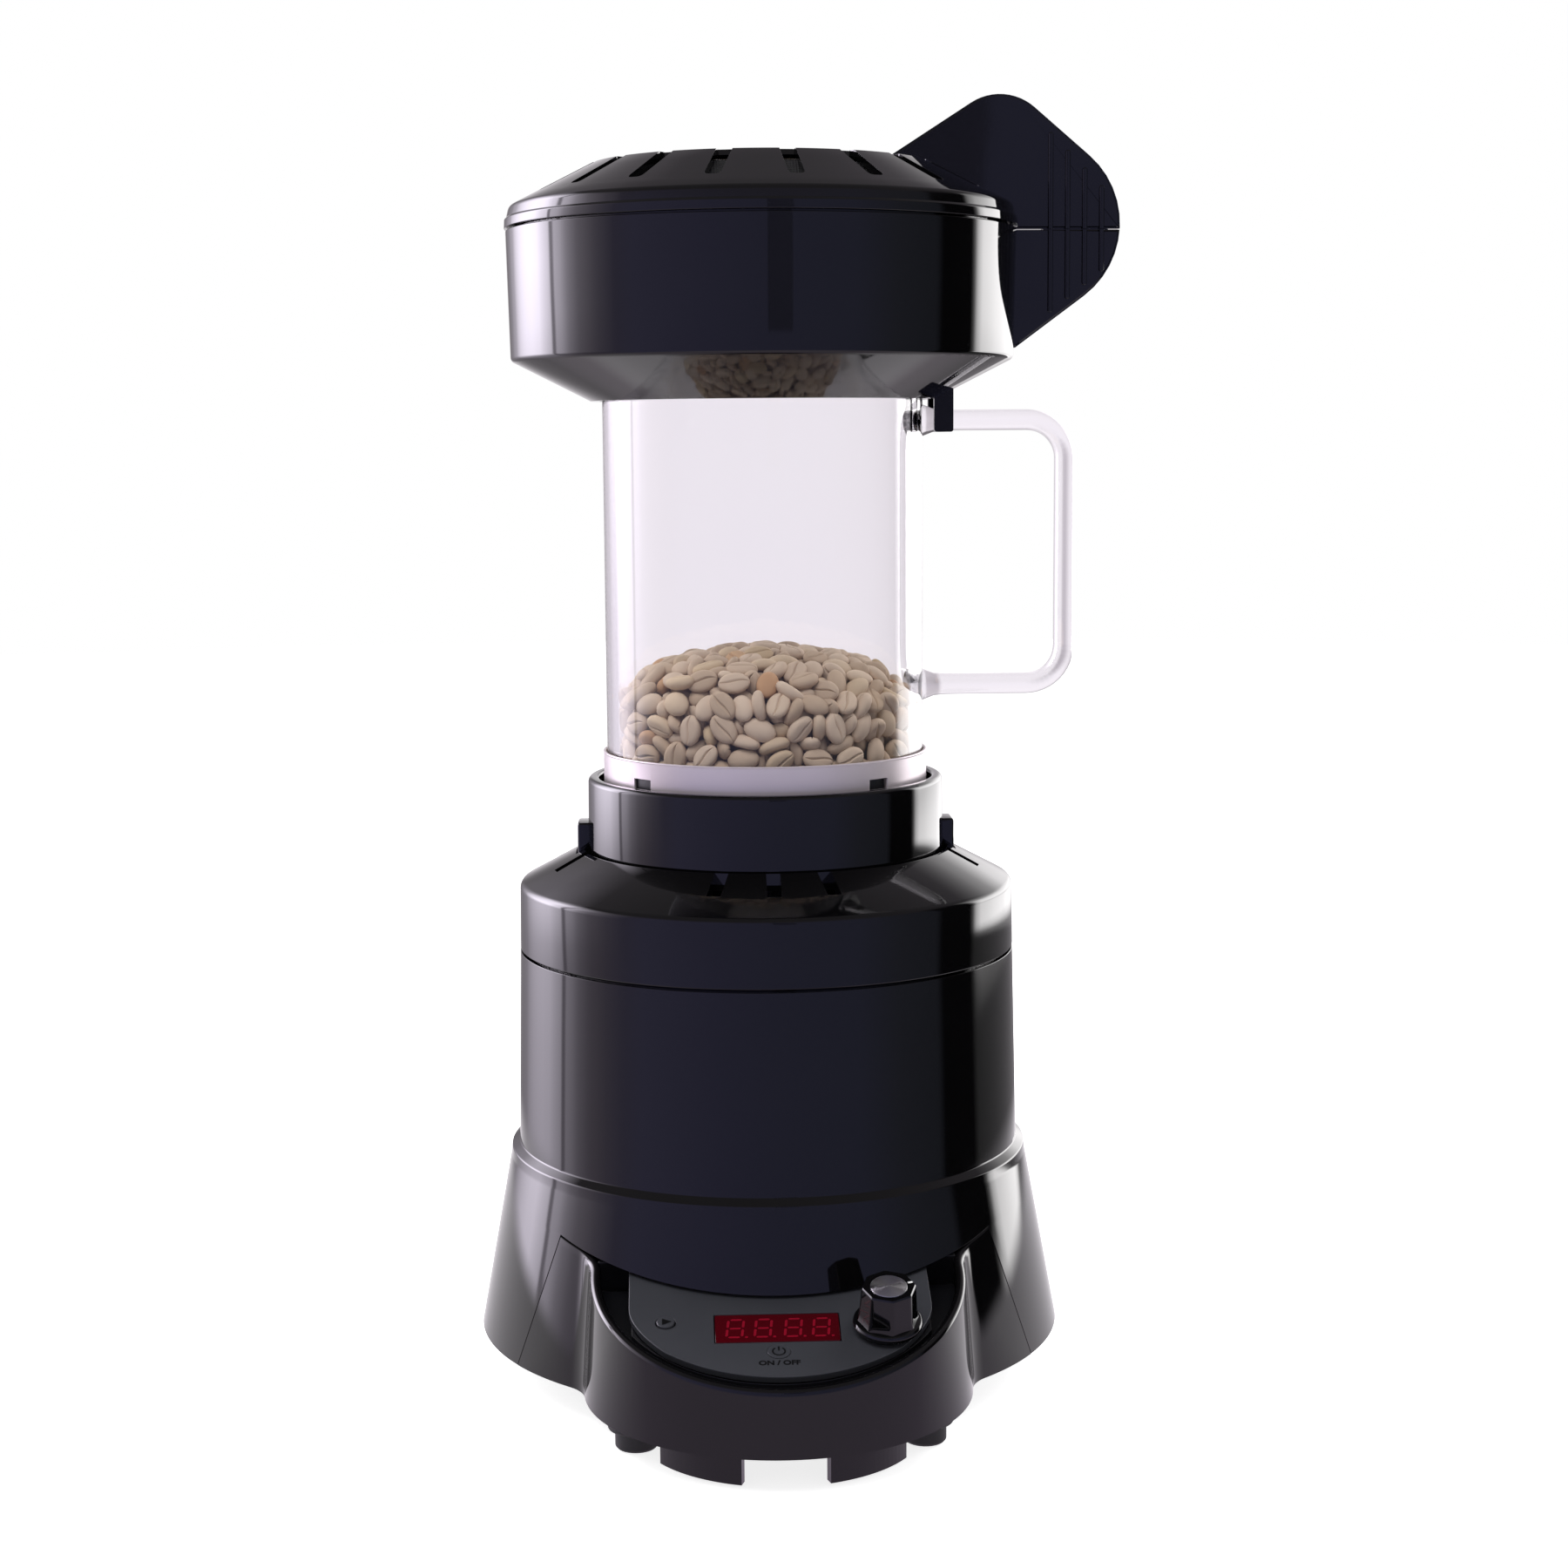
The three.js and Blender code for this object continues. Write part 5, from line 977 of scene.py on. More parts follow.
def laid_beans(row_shift, place_shift, sunk, number):
    """Poses of rows of beans up the side and over the top. The first layer is the solid's own."""
    first_row = bean_half.x
    rows = int((heap_length - first_row) / bean_row_pitch + 0.5)
    poses = []
    for row in range(rows):
        middle = first_row + (row + 0.5 + row_shift) * (heap_length - first_row) / rows
        count = max(1, int(2 * math.pi * along_heap(middle)[0].x / bean_pitch + 0.5))
        for i in range(count):
            distance = middle + bean_stray * (scattered(number + 0.75) - 0.5)
            aside = bean_stray / max(2.0, along_heap(distance)[0].x) * (scattered(number) - 0.5)
            turn = 2 * math.pi * (i + place_shift + (row % 2) / 2) / count + aside
            poses.append(bean_pose(number, distance, turn, sunk * (0.7 + 0.6 * scattered(number + 0.15))))
            number += 1
    return poses


def settled(fixed, loose, rounds=70):
    """Pushes the loose beans apart and out towards the heap's face, as shaking them down would."""
    poses = numpy.array([[list(row) for row in pose] for pose in fixed + loose])
    middles, turns = poses[:, :3, 3] - (0, 0, heap_foot), poses[:, :3, :3]
    knobs = numpy.array([
        (2.4, 0, 0), (-2.4, 0, 0), (0, 1.1, 0), (0, -1.1, 0), (1.2, 0.7, 0), (1.2, -0.7, 0), (-1.2, 0.7, 0),
        (-1.2, -0.7, 0)])
    free = numpy.arange(len(poses)) >= len(fixed)
    face_r, face_z = (numpy.array([point[axis] for point in heap_line[::-1]]) for axis in (0, 1))
    reach, swell = 2.2, 0.22
    for step in range(rounds):
        arms = numpy.einsum("nij,kj->nki", turns, knobs)
        spots = middles[:, None] + arms
        apart = numpy.linalg.norm(middles[:, None] - middles[None], axis=2)
        one, two = numpy.nonzero(numpy.triu(apart < 9.6, 1))
        gaps = spots[one][:, :, None] - spots[two][:, None]
        lengths = numpy.linalg.norm(gaps, axis=3) + 1e-6
        overlap = numpy.clip(2 * reach - lengths, 0, None)
        push = gaps / lengths[..., None] * overlap[..., None]
        pushes = numpy.zeros_like(spots)
        share = numpy.where(free[one] & free[two], 0.5, 1.0)[:, None, None]
        numpy.add.at(pushes, one, push.sum(axis=2) * share)
        numpy.add.at(pushes, two, -push.sum(axis=1) * share)
        radius = numpy.linalg.norm(spots[..., :2], axis=2) + 1e-6
        outward = spots.copy()
        outward[..., 2] = 0
        outward /= radius[..., None]
        pushes -= outward * numpy.clip(radius + reach - heap_radius, 0, None)[..., None] * 2
        roof = numpy.interp(radius, face_r, face_z)
        pushes[..., 2] -= numpy.clip(spots[..., 2] + reach - roof, 0, None) * 2
        pushes[..., 2] += numpy.clip(reach - spots[..., 2], 0, None) * 2
        touches = (numpy.linalg.norm(pushes, axis=2) > 1e-4).sum(axis=1) + 1.0
        shift = pushes.sum(axis=1) / touches[:, None]
        if step < rounds * 0.7:
            away = middles - (0, 0, 8)
            shift += swell * away / (numpy.linalg.norm(away, axis=1)[:, None] + 1e-6)
        spin = numpy.cross(arms, pushes).sum(axis=1) / (touches[:, None] * 5.0)
        middles[free] += shift[free]
        for i in numpy.nonzero(free)[0]:
            angle = float(numpy.linalg.norm(spin[i]))
            if angle > 1e-5:
                turns[i] = numpy.array(Matrix.Rotation(min(angle, 0.25), 3, Vector(spin[i]))) @ turns[i]
    lift = Vector((0, 0, heap_foot))
    return [Matrix.Translation(Vector(middle) + lift) @ Matrix(turn.tolist()).to_4x4()
            for middle, turn in zip(middles, turns)]


outer_beans = laid_beans(0, 0, 0.0, 0)
loose_beans = []
for row_shift, place_shift, sunk in ((0.5, 0.0, 3.0), (0.0, 0.5, 6.0), (0.5, 0.5, 9.0)):
    loose_beans += laid_beans(row_shift, place_shift, sunk, len(outer_beans) + len(loose_beans))
for number, pose in enumerate(settled(outer_beans, loose_beans)):
    tone = 0.1 + 0.66 * scattered(number + 0.65) + (0.5 if scattered(number + 0.85) > 0.965 else 0)
    add_bean(pose, min(1.0, tone), 1.04 - 0.1 * scattered(number + 0.95))
# The heap's core: a lathe under the beans whose tone stays 0 and so comes out dark brown. It is painted
# shade that stands in for the shade deep in the gaps between the beans.
inside = [(max(0, point.x - 9), heap_foot + max(0.2, point.y - 8.0)) for point in heap_line]
turned(heap, [(0, heap_foot + 0.2)] + inside, 48)
bean_skin = moulded("bean_skin", (0.46, 0.35, 0.265), (0.64, 0.5, 0.39), 0.5,
                    marks=0.15, ripple=0.9, dust=0.2, size=6)
bean_tree, bean_shader = bean_skin.node_tree, shader_of(bean_skin)
bean_mix = bean_tree.nodes["Mix"]


def toned(tree, stops):
    """A colour ramp with the given (position, colour) stops."""
    node = made(tree, "ValToRGB")
    first, last = node.color_ramp.elements
    first.position, last.position = stops[0][0], stops[-1][0]
    first.color, last.color = (*stops[0][1], 1), (*stops[-1][1], 1)
    for position, colour in stops[1:-1]:
        node.color_ramp.elements.new(position).color = (*colour, 1)
    return node


tone_read = made(bean_tree, "Attribute", attribute_name="bean_tone")
# The stop at tone 0 is painted shade, which only the heap's core takes; the beans' own tones start at 0.1.
tone_ramp = toned(bean_tree, [
    (0.0, (0.2, 0.14, 0.1)), (0.1, (0.45, 0.33, 0.235)), (0.4, (0.57, 0.44, 0.34)),
    (0.65, (0.7, 0.56, 0.45)), (0.76, (0.55, 0.41, 0.25)), (1.0, (0.5, 0.26, 0.12))])
tone_blend = made(bean_tree, "Mix", {"Factor": 0.7}, data_type="RGBA")
wired(bean_tree, ((tone_read, "Fac"), tone_ramp, 0), ((bean_mix, "Result"), tone_blend, "A"),
      (tone_ramp, tone_blend, "B"), ((tone_blend, "Result"), bean_shader, "Base Color"))
beans = assembled(heap, "green_beans", "chamber", bean_skin, ["bean_charge"])


# Chaff collector. A gloss black bowl with a sloping underside and a socket that drops over the
# glass. Two fork tines straddle the handle, and the lower half of the grip grows from its rim.
seam_height = 353.17
bowl_line = eased([
    (50.1, 301.97, 0.4), (52.9, 301.97, 0.4), (77.1, 314.2, 1.8), (78.0, seam_height, 0.35),
    (75.6, seam_height, 0.35), (74.7, 318.0, 2.0), (57.7, 308.5, 0), (52.9, 308.5, 0), (52.9, 306.67, 0),
    (39.4, 306.67, 0.3), (39.4, 306.2, 0), (39.4, 304.27, 0.3), (50.1, 304.27, 0),
], 7)


def spaced(line, least):
    """The line without points that lie almost on the one before them."""
    return [point for i, point in enumerate(line) if i == 0 or math.dist(point, line[i - 1]) > least]


bowl = bmesh.new()
turned(bowl, spaced(bowl_line, 0.01), 256)


def add_plate(work, outline, low, high, rounding, segments):
    """An upright plate from its outline in x and z, its long edges broken, joined to a body."""
    plate = bmesh.new()
    capped(plate, [[(x, y, z) for x, z in outline] for y in (low, high)])
    bmesh.ops.recalc_face_normals(plate, faces=plate.faces)
    rim = [edge for edge in plate.edges if abs(edge.verts[0].co.y - edge.verts[1].co.y) < 0.01]
    bmesh.ops.bevel(plate, geom=rim, offset=rounding, segments=segments, affect="EDGES")
    joined(work, plate)


tine_line = eased([(52.2, 291.97, 0.8), (58.1, 291.97, 0.8), (58.1, 309.2, 0), (52.2, 306.0, 0)], 5)
tine_aside, tine_half = 9.7, 1.5
for side in (-1, 1):
    add_plate(bowl, tine_line, side * tine_aside - tine_half, side * tine_aside + tine_half, 0.35, 2)


def grip_outline():
    """The whole grip seen from the side: radius from the axis and height above the seam."""
    rim, nose_reach, nose_rise, nose_radius = 78.0, 32.2, 0.2, 27.0
    fall_above, fall_below = 0.851, 0.736
    above, below = math.atan(fall_above), math.atan(fall_below)
    half_sum, half_apart = (above + below) / 2, (above - below) / 2
    nose = nose_reach + nose_radius / math.sin(half_sum) * math.cos(half_apart) - nose_radius
    return eased([
        (33.0, 18.3, 0), (33.0, 17.0, 0), (51.0, 16.6, 0), (74.5, 4.0, 0), (76.7, 0.0, 0),
        (76.7, nose_rise - nose * fall_below, 0), (rim, nose_rise - nose * fall_below, 0),
        (rim + nose, nose_rise, nose_radius), (rim - 3.6, nose_rise + (nose + 3.6) * fall_above, 16.5),
    ], 12)


def kept_side(outline, level_z, upper_side):
    """The part of an outline above or below a level line."""
    kept = []

    def inside(point):
        return point[1] >= level_z if upper_side else point[1] <= level_z

    for i, point in enumerate(outline):
        before = outline[i - 1]
        if inside(point) != inside(before):
            share = (level_z - before[1]) / (point[1] - before[1])
            kept.append((before[0] + share * (point[0] - before[0]), level_z))
        if inside(point):
            kept.append(point)
    return kept


def add_grip(work, upper_side):
    """One half of the grip: a 7 mm plate with softly rounded edges and four raised bars a side."""
    gap = 0.3 if upper_side else 0.0
    outline = [(x, seam_height + z) for x, z in kept_side(grip_outline(), gap, upper_side)]
    add_plate(work, outline, -3.5, 3.5, 0.7, 3)
    if not upper_side:
        tongue_size, tongue_reach, tongue_sunk = (20.0, 5.4, 1.2), 96.5, 0.34
        tongue = bmesh.new()
        block(tongue, *tongue_size, (tongue_reach, 0, seam_height - tongue_sunk))
        joined(work, tongue)
    first_bar, bar_pitch, bar_half = 88.6, 5.25, 0.75
    for i in range(4):
        x = first_bar + bar_pitch * i
        low, high = (gap, 29.2 - 5.3 * i) if upper_side else (-25 + 4.1 * i, 0.0)
        for side in (-1, 1):
            bar = bmesh.new()
            rows = []
            for out, inset in ((3.2, 0.0), (4.05, 0.0), (4.2, 0.06), (4.3, 0.2), (4.33, 0.5)):
                half = bar_half - inset
                turned_end = min(0.7, half * 0.95)
                low_end, high_end = (low, high - inset) if upper_side else (low + inset, high)
                low_round, high_round = (0, turned_end) if upper_side else (turned_end, 0)
                corners = [(x - half, low_end, low_round), (x + half, low_end, low_round),
                           (x + half, high_end, high_round), (x - half, high_end, high_round)]
                rows.append([(u, side * out, seam_height + v) for u, v in eased(corners, 4)])
            lines = skinned(bar, rows)
            bar.faces.new(lines[-1])
            bmesh.ops.recalc_face_normals(bar, faces=bar.faces)
            joined(work, bar)


add_grip(bowl, False)
collector = assembled(bowl, "collector_bowl", "collector", gloss_black, ["collector_body"], sharp=38)
finish_node("collector_throat", gloss_black)
finish_node("collector_seal", seal_grey)


# Collector lid. A gloss black cone of radial slots with a sunken top and a proud ring at the
# seam, lifted by the upper half of the grip. A fine steel screen lies right under the slots.
lid_columns_slot, lid_columns_web = 4, 8
slot_pitch, first_slot, slot_half_width, slot_outer = math.radians(20), math.radians(-83.5), 2.4, 69.2
slot_count, closed_slot = 18, 4  # the closed one lies under the grip
lid_line = spaced(eased([
    (73.6, 353.77, 0), (78.4, 353.77, 0.25), (78.3, 356.4, 0.5), (77.7, 357.0, 0.3), (76.9, 360.3, 2.4),
    (52.2, 372.9, 1.2), (49.9, 372.9, 0.5), (48.6, 371.8, 0.5), (30.0, 371.8, 0),
], 5), 0.02)
cone_start = max(i for i, (r, z) in enumerate(lid_line) if r > 70)
cone_end = min(i for i, (r, z) in enumerate(lid_line) if r < 55)
outer_r, outer_z = lid_line[cone_start]
inner_r, inner_z = lid_line[cone_end]
slot_rows = (71.5, 70.2, slot_outer, 69.13, 68.9, 68.55, 68.1, 67.5, 66.7, 64.0, 61.0, 58.0)
cone = [(r, outer_z + (inner_z - outer_z) * (outer_r - r) / (outer_r - inner_r)) for r in slot_rows]
profile = lid_line[:cone_start + 1] + cone + lid_line[cone_end:]


def slot_width(radius):
    """Half the slot's width at a radius: straight sides and a rounded outer end."""
    end_round, end_share = 1.7, 0.42
    share = 1 - max(0.0, min(1.0, (slot_outer - radius) / end_round))
    return slot_half_width * (end_share + (1 - end_share) * math.sqrt(1 - share * share))


def lid_row(radius, height):
    """One row of the lid, its columns gathered so that they follow the slots' sides."""
    row = []
    for sector in range(slot_count):
        middle = first_slot + sector * slot_pitch
        half = math.asin(slot_width(max(radius, 40)) / max(radius, 12))
        for j in range(lid_columns_slot):
            row.append(middle - half + 2 * half * j / lid_columns_slot)
        for j in range(lid_columns_web):
            row.append(middle + half + (slot_pitch - 2 * half) * j / lid_columns_web)
    return [(radius * math.cos(a), radius * math.sin(a), height) for a in row]


open_first = min(i for i, (r, z) in enumerate(profile) if abs(r - slot_outer) < 0.001)
open_last = max(i for i, (r, z) in enumerate(profile) if r > 49.5)


def lid_kept(i, j):
    sector, column = divmod(j, lid_columns_slot + lid_columns_web)
    return column >= lid_columns_slot or sector == closed_slot or not open_first <= i < open_last


lid_work = bmesh.new()
rows = [lid_row(r, z) for r, z in profile]
lines = skinned(lid_work, rows, keep=lid_kept)
lid_work.faces.new(lines[-1])
bmesh.ops.delete(lid_work, geom=[v for v in lid_work.verts if not v.link_faces], context="VERTS")
lid_shell = assembled(lid_work, "lid_shell", "lid", gloss_black, ["collector_lid"])
thickened(lid_shell, 2.2)
edges_broken(lid_shell, 0.3, 38)
spigot_inner, spigot_outer, spigot_low, spigot_high = 73.2, 75.0, 348.3, 354.3
lid_trim = bmesh.new()
turned(lid_trim, [(spigot_inner, spigot_low), (spigot_outer, spigot_low),
                  (spigot_outer, spigot_high), (spigot_inner, spigot_high)], 192)
add_grip(lid_trim, True)
lid_grip = assembled(lid_trim, "lid_grip", "lid", gloss_black, sharp=38)
screen_mesh = moulded("screen_mesh", (0.05, 0.05, 0.05), (0.09, 0.09, 0.09), 0.5,
                      marks=0.2, metallic=0.8, size=4)
screen_tree = screen_mesh.node_tree
weave_where, weave_join = made(screen_tree, "TexCoord"), made(screen_tree, "Math", operation="MULTIPLY")
weave_bump = made(screen_tree, "Bump", {"Distance": 0.0003})
for place, way in enumerate("XY"):
    wave = made(screen_tree, "TexWave", {"Scale": 380}, bands_direction=way)
    wired(screen_tree, ((weave_where, "Object"), wave, "Vector"), ((wave, "Fac"), weave_join, place))
wired(screen_tree, (weave_join, weave_bump, "Height"), (weave_bump, shader_of(screen_mesh), "Normal"))
finish_node("chaff_screen", screen_mesh)
finish_node("chaff_deflector", steel)


# Studio floor. A wide white sheet under the machine. The camera sees it plain white, while the
# gloss and the glass see only its part near the machine, in the gloss dimmer in front.
def staged(name, shape, material):
    """A thing that belongs to the studio and not to the machine."""
    shape.materials.append(material)
    thing = placed(name, shape)
    return thing


floor_white = finish("studio_floor", {
    "Base Color": (0.8, 0.8, 0.8, 1), "Roughness": 0.9, "Specular IOR Level": 0.0,
    "Emission Color": (1, 1, 1, 1)})
floor_radius, floor_drop = 3.0, 0.0003
floor = bmesh.new()
bmesh.ops.create_circle(floor, cap_ends=True, segments=96, radius=floor_radius)
studio_floor = staged("studio_floor", mesh_of("studio_floor", floor), floor_white)
studio_floor.location = (machine_axis.x, machine_axis.y, -floor_drop)
floor_tree, floor_shader = floor_white.node_tree, shader_of(floor_white)
backdrop_white = (0.97, 0.92, 0.98, 1)
floor_where, floor_split, floor_path = (
    made(floor_tree, kind) for kind in ("TexCoord", "SeparateXYZ", "LightPath"))
near_front = made(floor_tree, "MapRange", {1: -0.02, 2: -0.12})
near_reach = made(floor_tree, "VectorMath", operation="LENGTH")
near = made(floor_tree, "MapRange", {1: 0.4, 2: 0.29}, interpolation_type="SMOOTHSTEP")
near_colour = made(
    floor_tree, "Mix", {"A": (1.05, 1.0, 1.06, 1), "B": (0.56, 0.47, 0.6, 1)}, data_type="RGBA")
near_tone, past = made(floor_tree, "Emission"), made(floor_tree, "BsdfTransparent")
through_tone = made(floor_tree, "Emission", {0: backdrop_white})
mirrored, through_near, seen_through, shown = (made(floor_tree, "MixShader") for _ in range(4))
camera_glow = made(floor_tree, "Math", {1: 0.8}, operation="MULTIPLY")
wired(
    floor_tree,
    ((floor_where, "Object"), floor_split, 0), ((floor_split, "Y"), near_front, 0),
    ((floor_where, "Object"), near_reach, 0), ((near_reach, "Value"), near, 0),
    (near_front, near_colour, "Factor"), ((near_colour, "Result"), near_tone, 0), (near, mirrored, 0),
    (past, mirrored, 1), (near_tone, mirrored, 2), ((floor_path, "Is Camera Ray"), camera_glow, 0),
    (camera_glow, floor_shader, "Emission Strength"), (near, through_near, 0), (past, through_near, 1),
    (through_tone, through_near, 2), ((floor_path, "Is Transmission Ray"), seen_through, 0),
    (floor_shader, seen_through, 1), (through_near, seen_through, 2),
    ((floor_path, "Is Glossy Ray"), shown, 0), (seen_through, shown, 1), (mirrored, shown, 2),
    (shown, floor_tree.nodes["Material Output"], "Surface"),
)


# Studio room. What the gloss mirrors is a dim blue room in front, a tall soft light behind on
# either side, and a black flag between the right light and the room. The camera sees white.
world = bpy.data.worlds.new("studio")
bpy.context.scene.world = world
world.use_nodes = True
world.cycles.sampling_method = "NONE"
sky = world.node_tree
sky.nodes.clear()
sky_where, sky_split, sky_path, sky_out = (made(sky, kind) for kind in (
    "TexCoord", "SeparateXYZ", "LightPath", "OutputWorld"))
behind = made(sky, "Math", {1: -1}, operation="MULTIPLY")
azimuth, height, steepness, right_side = (made(sky, "Math", operation=kind) for kind in (
    "ARCTAN2", "ARCSINE", "ABSOLUTE", "GREATER_THAN"))
right_side.inputs[1].default_value = 0.0
compass = made(sky, "MapRange", {1: -math.pi, 2: math.pi})


def bearings(*stops):
    """Stops given in degrees from the front, to the right positive, as shares of the turn."""
    return [((degrees + 180) / 360, colour) for degrees, colour in stops]


def greys(*stops):
    """The side lights' strengths, as shares of the strongest that the ramp is multiplied by."""
    return [(degrees, (value / light_peak,) * 3) for degrees, value in stops]


light_peak = 12
room = toned(sky, bearings(
    (-180, (0.9, 0.88, 0.9)), (-174, (0.8, 0.76, 0.8)), (-168, (0.3, 0.28, 0.3)),
    (-86, (0.42, 0.35, 0.47)), (-60, (0.4, 0.38, 0.66)), (-25, (0.31, 0.3, 0.55)),
    (0, (0.27, 0.27, 0.48)), (40, (0.24, 0.25, 0.42)), (60, (0.18, 0.19, 0.26)), (82, (0.12, 0.13, 0.17)),
    (86, (0.0, 0.0, 0.0)), (106, (0.0, 0.0, 0.0)), (110, (0.15, 0.15, 0.15)), (170, (0.3, 0.28, 0.3)),
    (176, (0.85, 0.8, 0.85)), (180, (0.9, 0.88, 0.9)),
))
side_lights = toned(sky, bearings(*greys(
    (-166, 0), (-158, 0.3), (-150, 1.1), (-142, 3.8), (-135, 6.2), (-128, 8.5), (-121, 10.0), (-112, 8.0),
    (-110.4, 7.0), (-109.6, 1.2), (-108.4, 1.2), (-107.6, 5.4), (-103, 4.8), (-98, 2.7), (-91, 1.3),
    (-80, 0.45), (-70, 0), (105.5, 0), (108, 0.6), (111, 5.2), (115, 7.6), (128, 6.2), (142, 4.2),
    (150, 3.5), (158, 2.6), (165, 1.4), (174, 0),
)))


def heights(*stops):
    """Stops given in degrees above the horizon, for a ramp that runs from -45 to 90 degrees."""
    return [((degrees + 45) / 135, (value,) * 3) for degrees, value in stops]


rise = made(sky, "MapRange", {1: math.radians(-45), 2: math.radians(90)})
# A lamp close by looks dimmer low down on the machine, which a sky at infinity has to be told.
left_rise = toned(sky, heights(
    (-45, 0.05), (-20, 0.12), (-13.5, 0.21), (-11, 0.27), (-8, 0.42), (-4, 0.6), (0.5, 0.9), (4, 1), (35, 1),
    (60, 0), (90, 0)))
right_rise = toned(sky, heights(
    (-45, 0), (-10.3, 0), (-9.4, 0.85), (-7, 0.8), (-4, 0.65), (0.5, 0.95), (4, 1), (13, 0.9), (22, 0.35),
    (36, 0), (90, 0)))
side_rise, plain_sky, hung = (made(sky, "Mix", data_type="RGBA") for _ in range(3))
side_tint = made(
    sky, "Mix", {"A": (light_peak, 11.2, 12.8, 1), "B": (light_peak, 11.8, 11.8, 1)}, data_type="RGBA")
side_colour, side_total, mirrored_sky, beyond_total = (made(sky, "VectorMath", operation=kind) for kind in (
    "MULTIPLY", "MULTIPLY", "ADD", "MULTIPLY"))
# Overhead the room is dark grey, and underfoot it is pale.
away = made(sky, "MapRange", {1: 0.45, 2: 0.75})
underfoot, overhead = (0.8, 0.72, 0.8), (0.17, 0.16, 0.17)
plain = toned(sky, [(0.25, underfoot), (0.45, (0.24, 0.21, 0.24)), (0.8, overhead)])
# Looking through glass, the backdrop is white and the room dims away to either side of it.
hanging = backdrop_white[:3]
beyond = toned(sky, bearings(
    (-180, hanging), (-174, hanging), (-166, (0.6, 0.55, 0.6)), (-145, (0.34, 0.31, 0.34)),
    (-112, (0.26, 0.24, 0.26)), (-80, (0.16, 0.15, 0.16)), (0, (0.12, 0.12, 0.15)), (80, (0.16, 0.15, 0.16)),
    (108, (0.3, 0.28, 0.3)), (137, (0.8, 0.76, 0.8)), (151, hanging), (180, hanging)))
beyond_rise = toned(sky, heights((-45, 1), (8, 1), (26, 0.6), (60, 0.42), (90, 0.42)))
# Anything lit by a matt surface's scattered rays gets an even white sky, inside the jug as well.
soft_sky = made(sky, "Background", {0: (1, 0.99, 1, 1), 1: 0.5})
glass_sky, white_sky = made(sky, "Background"), made(sky, "Background", {0: (1, 1, 1, 1)})
soft_or_glass, or_white = (made(sky, "MixShader") for _ in range(2))
wired(
    sky,
    ((sky_where, "Generated"), sky_split, 0), ((sky_split, "Y"), behind, 0),
    ((sky_split, "X"), azimuth, 0), (behind, azimuth, 1), ((sky_split, "Z"), height, 0),
    (azimuth, compass, 0), (height, rise, 0), (compass, room, 0), (compass, side_lights, 0),
    (azimuth, right_side, 0), (rise, left_rise, 0), (rise, right_rise, 0),
    (right_side, side_rise, "Factor"), (left_rise, side_rise, "A"), (right_rise, side_rise, "B"),
    (right_side, side_tint, "Factor"), (side_lights, side_colour, 0),
    ((side_tint, "Result"), side_colour, 1), (side_colour, side_total, 0),
    ((side_rise, "Result"), side_total, 1), (side_total, mirrored_sky, 0), (room, mirrored_sky, 1),
    (height, steepness, 0), (steepness, away, 0), (rise, plain, 0), (away, plain_sky, "Factor"),
    (mirrored_sky, plain_sky, "A"), (plain, plain_sky, "B"), (compass, beyond, 0), (rise, beyond_rise, 0),
    (beyond, beyond_total, 0), (beyond_rise, beyond_total, 1),
    ((sky_path, "Is Transmission Ray"), hung, "Factor"), ((plain_sky, "Result"), hung, "A"),
    (beyond_total, hung, "B"), ((hung, "Result"), glass_sky, 0),
    ((sky_path, "Diffuse Depth"), soft_or_glass, 0), (glass_sky, soft_or_glass, 1),
    (soft_sky, soft_or_glass, 2), ((sky_path, "Is Camera Ray"), or_white, 0),
    (soft_or_glass, or_white, 1), (white_sky, or_white, 2), (or_white, sky_out, 0),
)


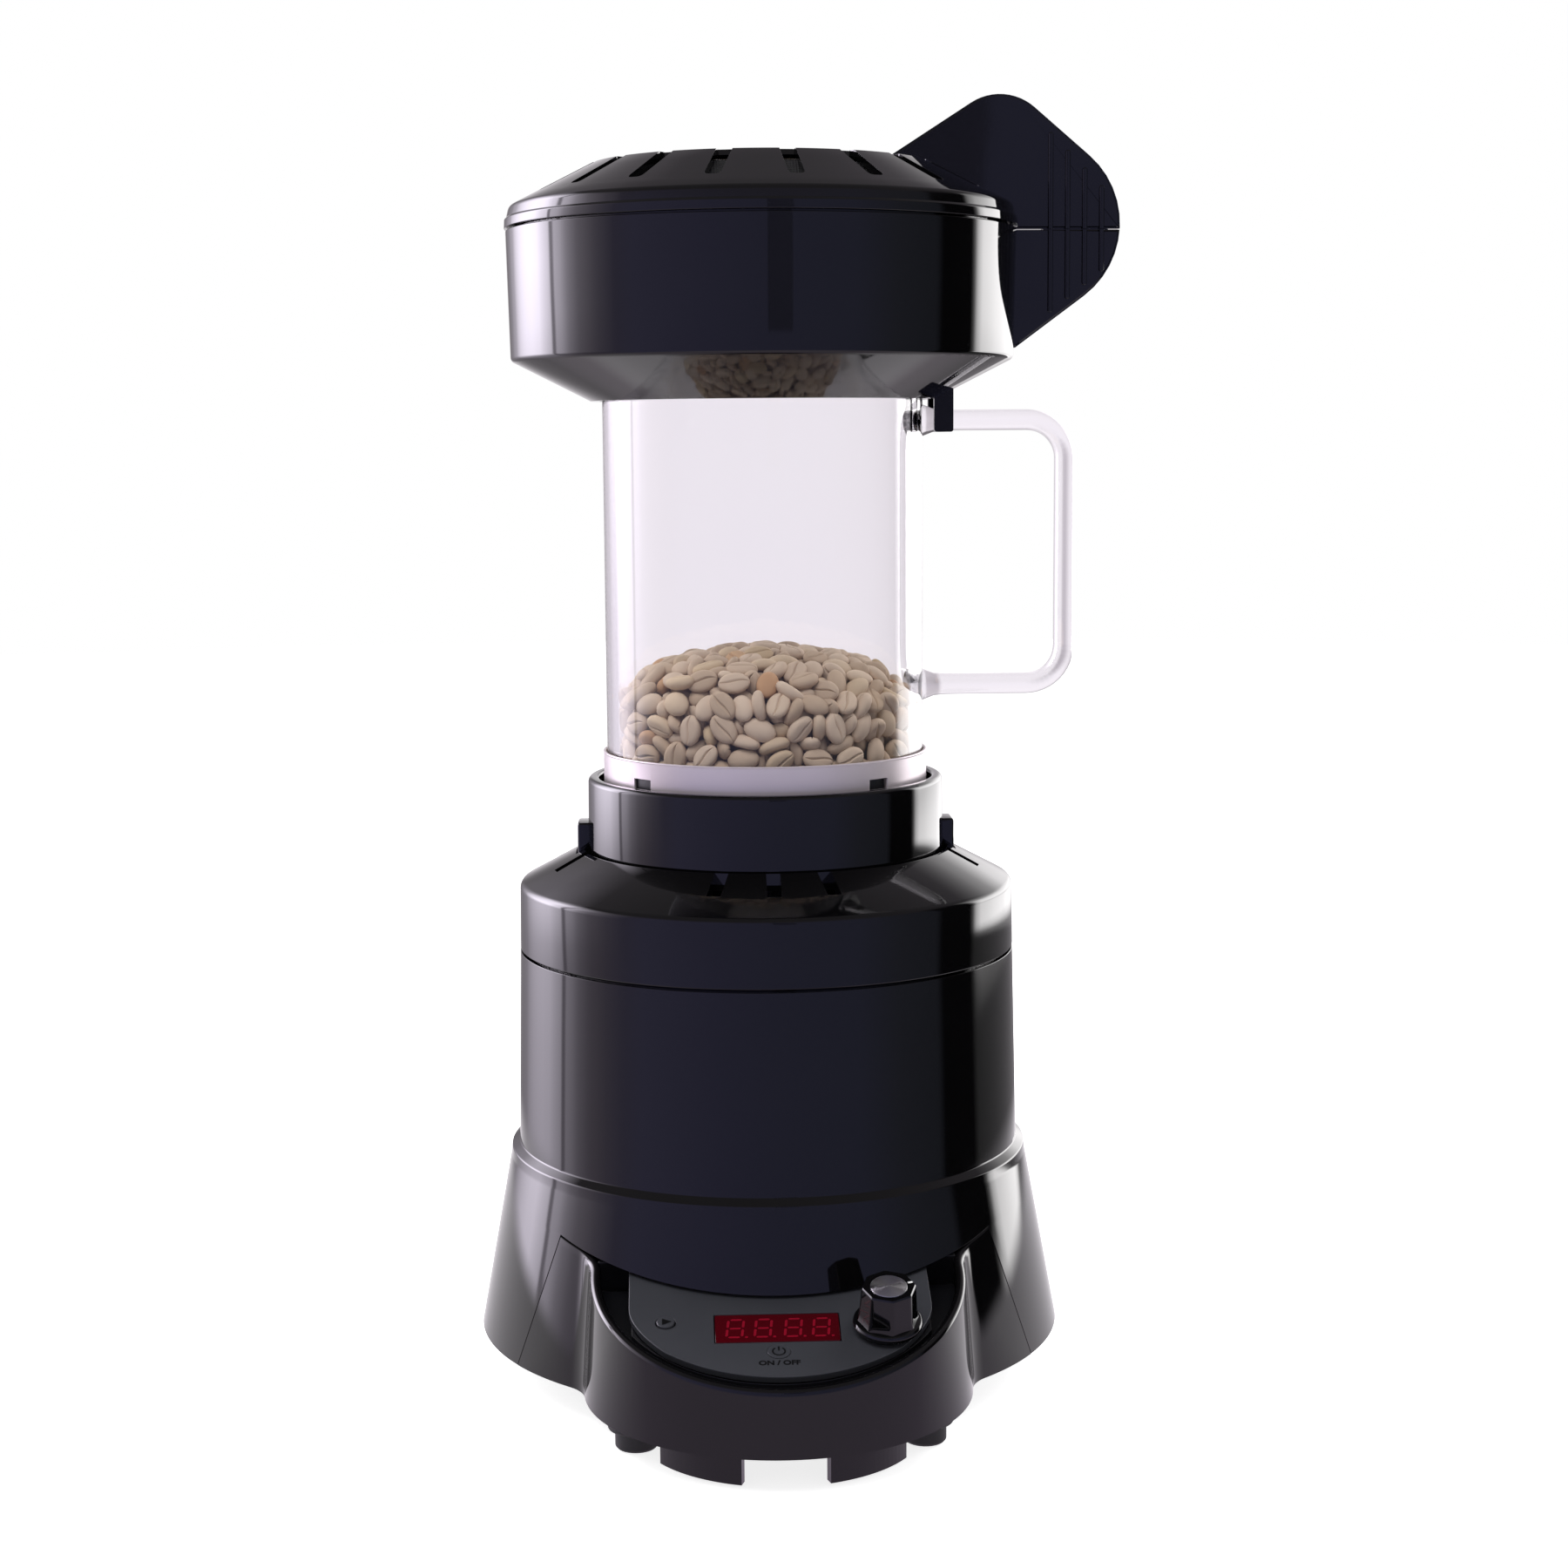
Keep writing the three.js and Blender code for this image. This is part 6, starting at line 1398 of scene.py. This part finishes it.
# Camera stand. A dark upright shape just behind the camera, which the collector's front mirrors
# as a dim band. Only the gloss sees it.
stand_tone = (0.05, 0.05, 0.09, 1)
stand_dark = finish("camera_stand", {
    "Base Color": stand_tone, "Emission Color": stand_tone, "Emission Strength": 1.0})
stand_left, stand_right, stand_y, stand_low, stand_high = 0.0, 0.17, -0.9, 0.27, 0.75
stand = bpy.data.meshes.new("camera_stand")
stand.from_pydata([
    (stand_left, stand_y, stand_low), (stand_right, stand_y, stand_low),
    (stand_right, stand_y, stand_high), (stand_left, stand_y, stand_high),
], [], [(0, 1, 2, 3)])
camera_stand = staged("camera_stand", stand, stand_dark)
camera_stand.visible_camera = camera_stand.visible_diffuse = camera_stand.visible_shadow = False
camera_stand.visible_transmission = False


# Lamps. Two tall soft boxes behind and one above the front light the matt surfaces. The gloss,
# the glass and the camera don't see them: for those the studio room has its own lights.
def soft_light(name, place, aim_height, width, height, power):
    lamp = bpy.data.lights.new(name, "AREA")
    lamp.shape, lamp.size, lamp.size_y, lamp.energy = "RECTANGLE", width, height, power
    holder = placed(name, lamp)
    holder.location = place
    aim = Vector((0, 0, aim_height)) - Vector(place)
    holder.rotation_euler = aim.to_track_quat("-Z", "Y").to_euler()
    holder.visible_camera = holder.visible_glossy = holder.visible_transmission = False


soft_light("rear_left", (-0.65, 0.45, 0.6), 0.2, width=0.5, height=0.9, power=9)
soft_light("rear_right", (0.65, 0.4, 0.6), 0.2, width=0.5, height=0.9, power=8)
soft_light("front_top", (-0.2, -0.5, 0.95), 0.12, width=0.7, height=0.5, power=6)


# Camera. It stands where the photographer stood, level with the glass and a little to the left,
# as worked out from the ellipses of the round parts in the photo.
lens = bpy.data.cameras.new("camera")
lens.lens, lens.sensor_width, lens.sensor_fit, lens.clip_start = 61.05, 36, "AUTO", 0.01
camera = placed("camera", lens)
camera_place, camera_pan, camera_tilt, camera_roll = (
    (-0.0396, -0.81065, 0.2912), math.radians(-2.50645), math.radians(82.53235), math.radians(-0.39443))
camera.matrix_world = (
    Matrix.Translation(camera_place) @ Matrix.Rotation(camera_pan, 4, "Z")
    @ Matrix.Rotation(camera_tilt, 4, "X") @ Matrix.Rotation(camera_roll, 4, "Z")
)
bpy.context.scene.camera = camera
bpy.context.scene.view_settings.view_transform = "Standard"
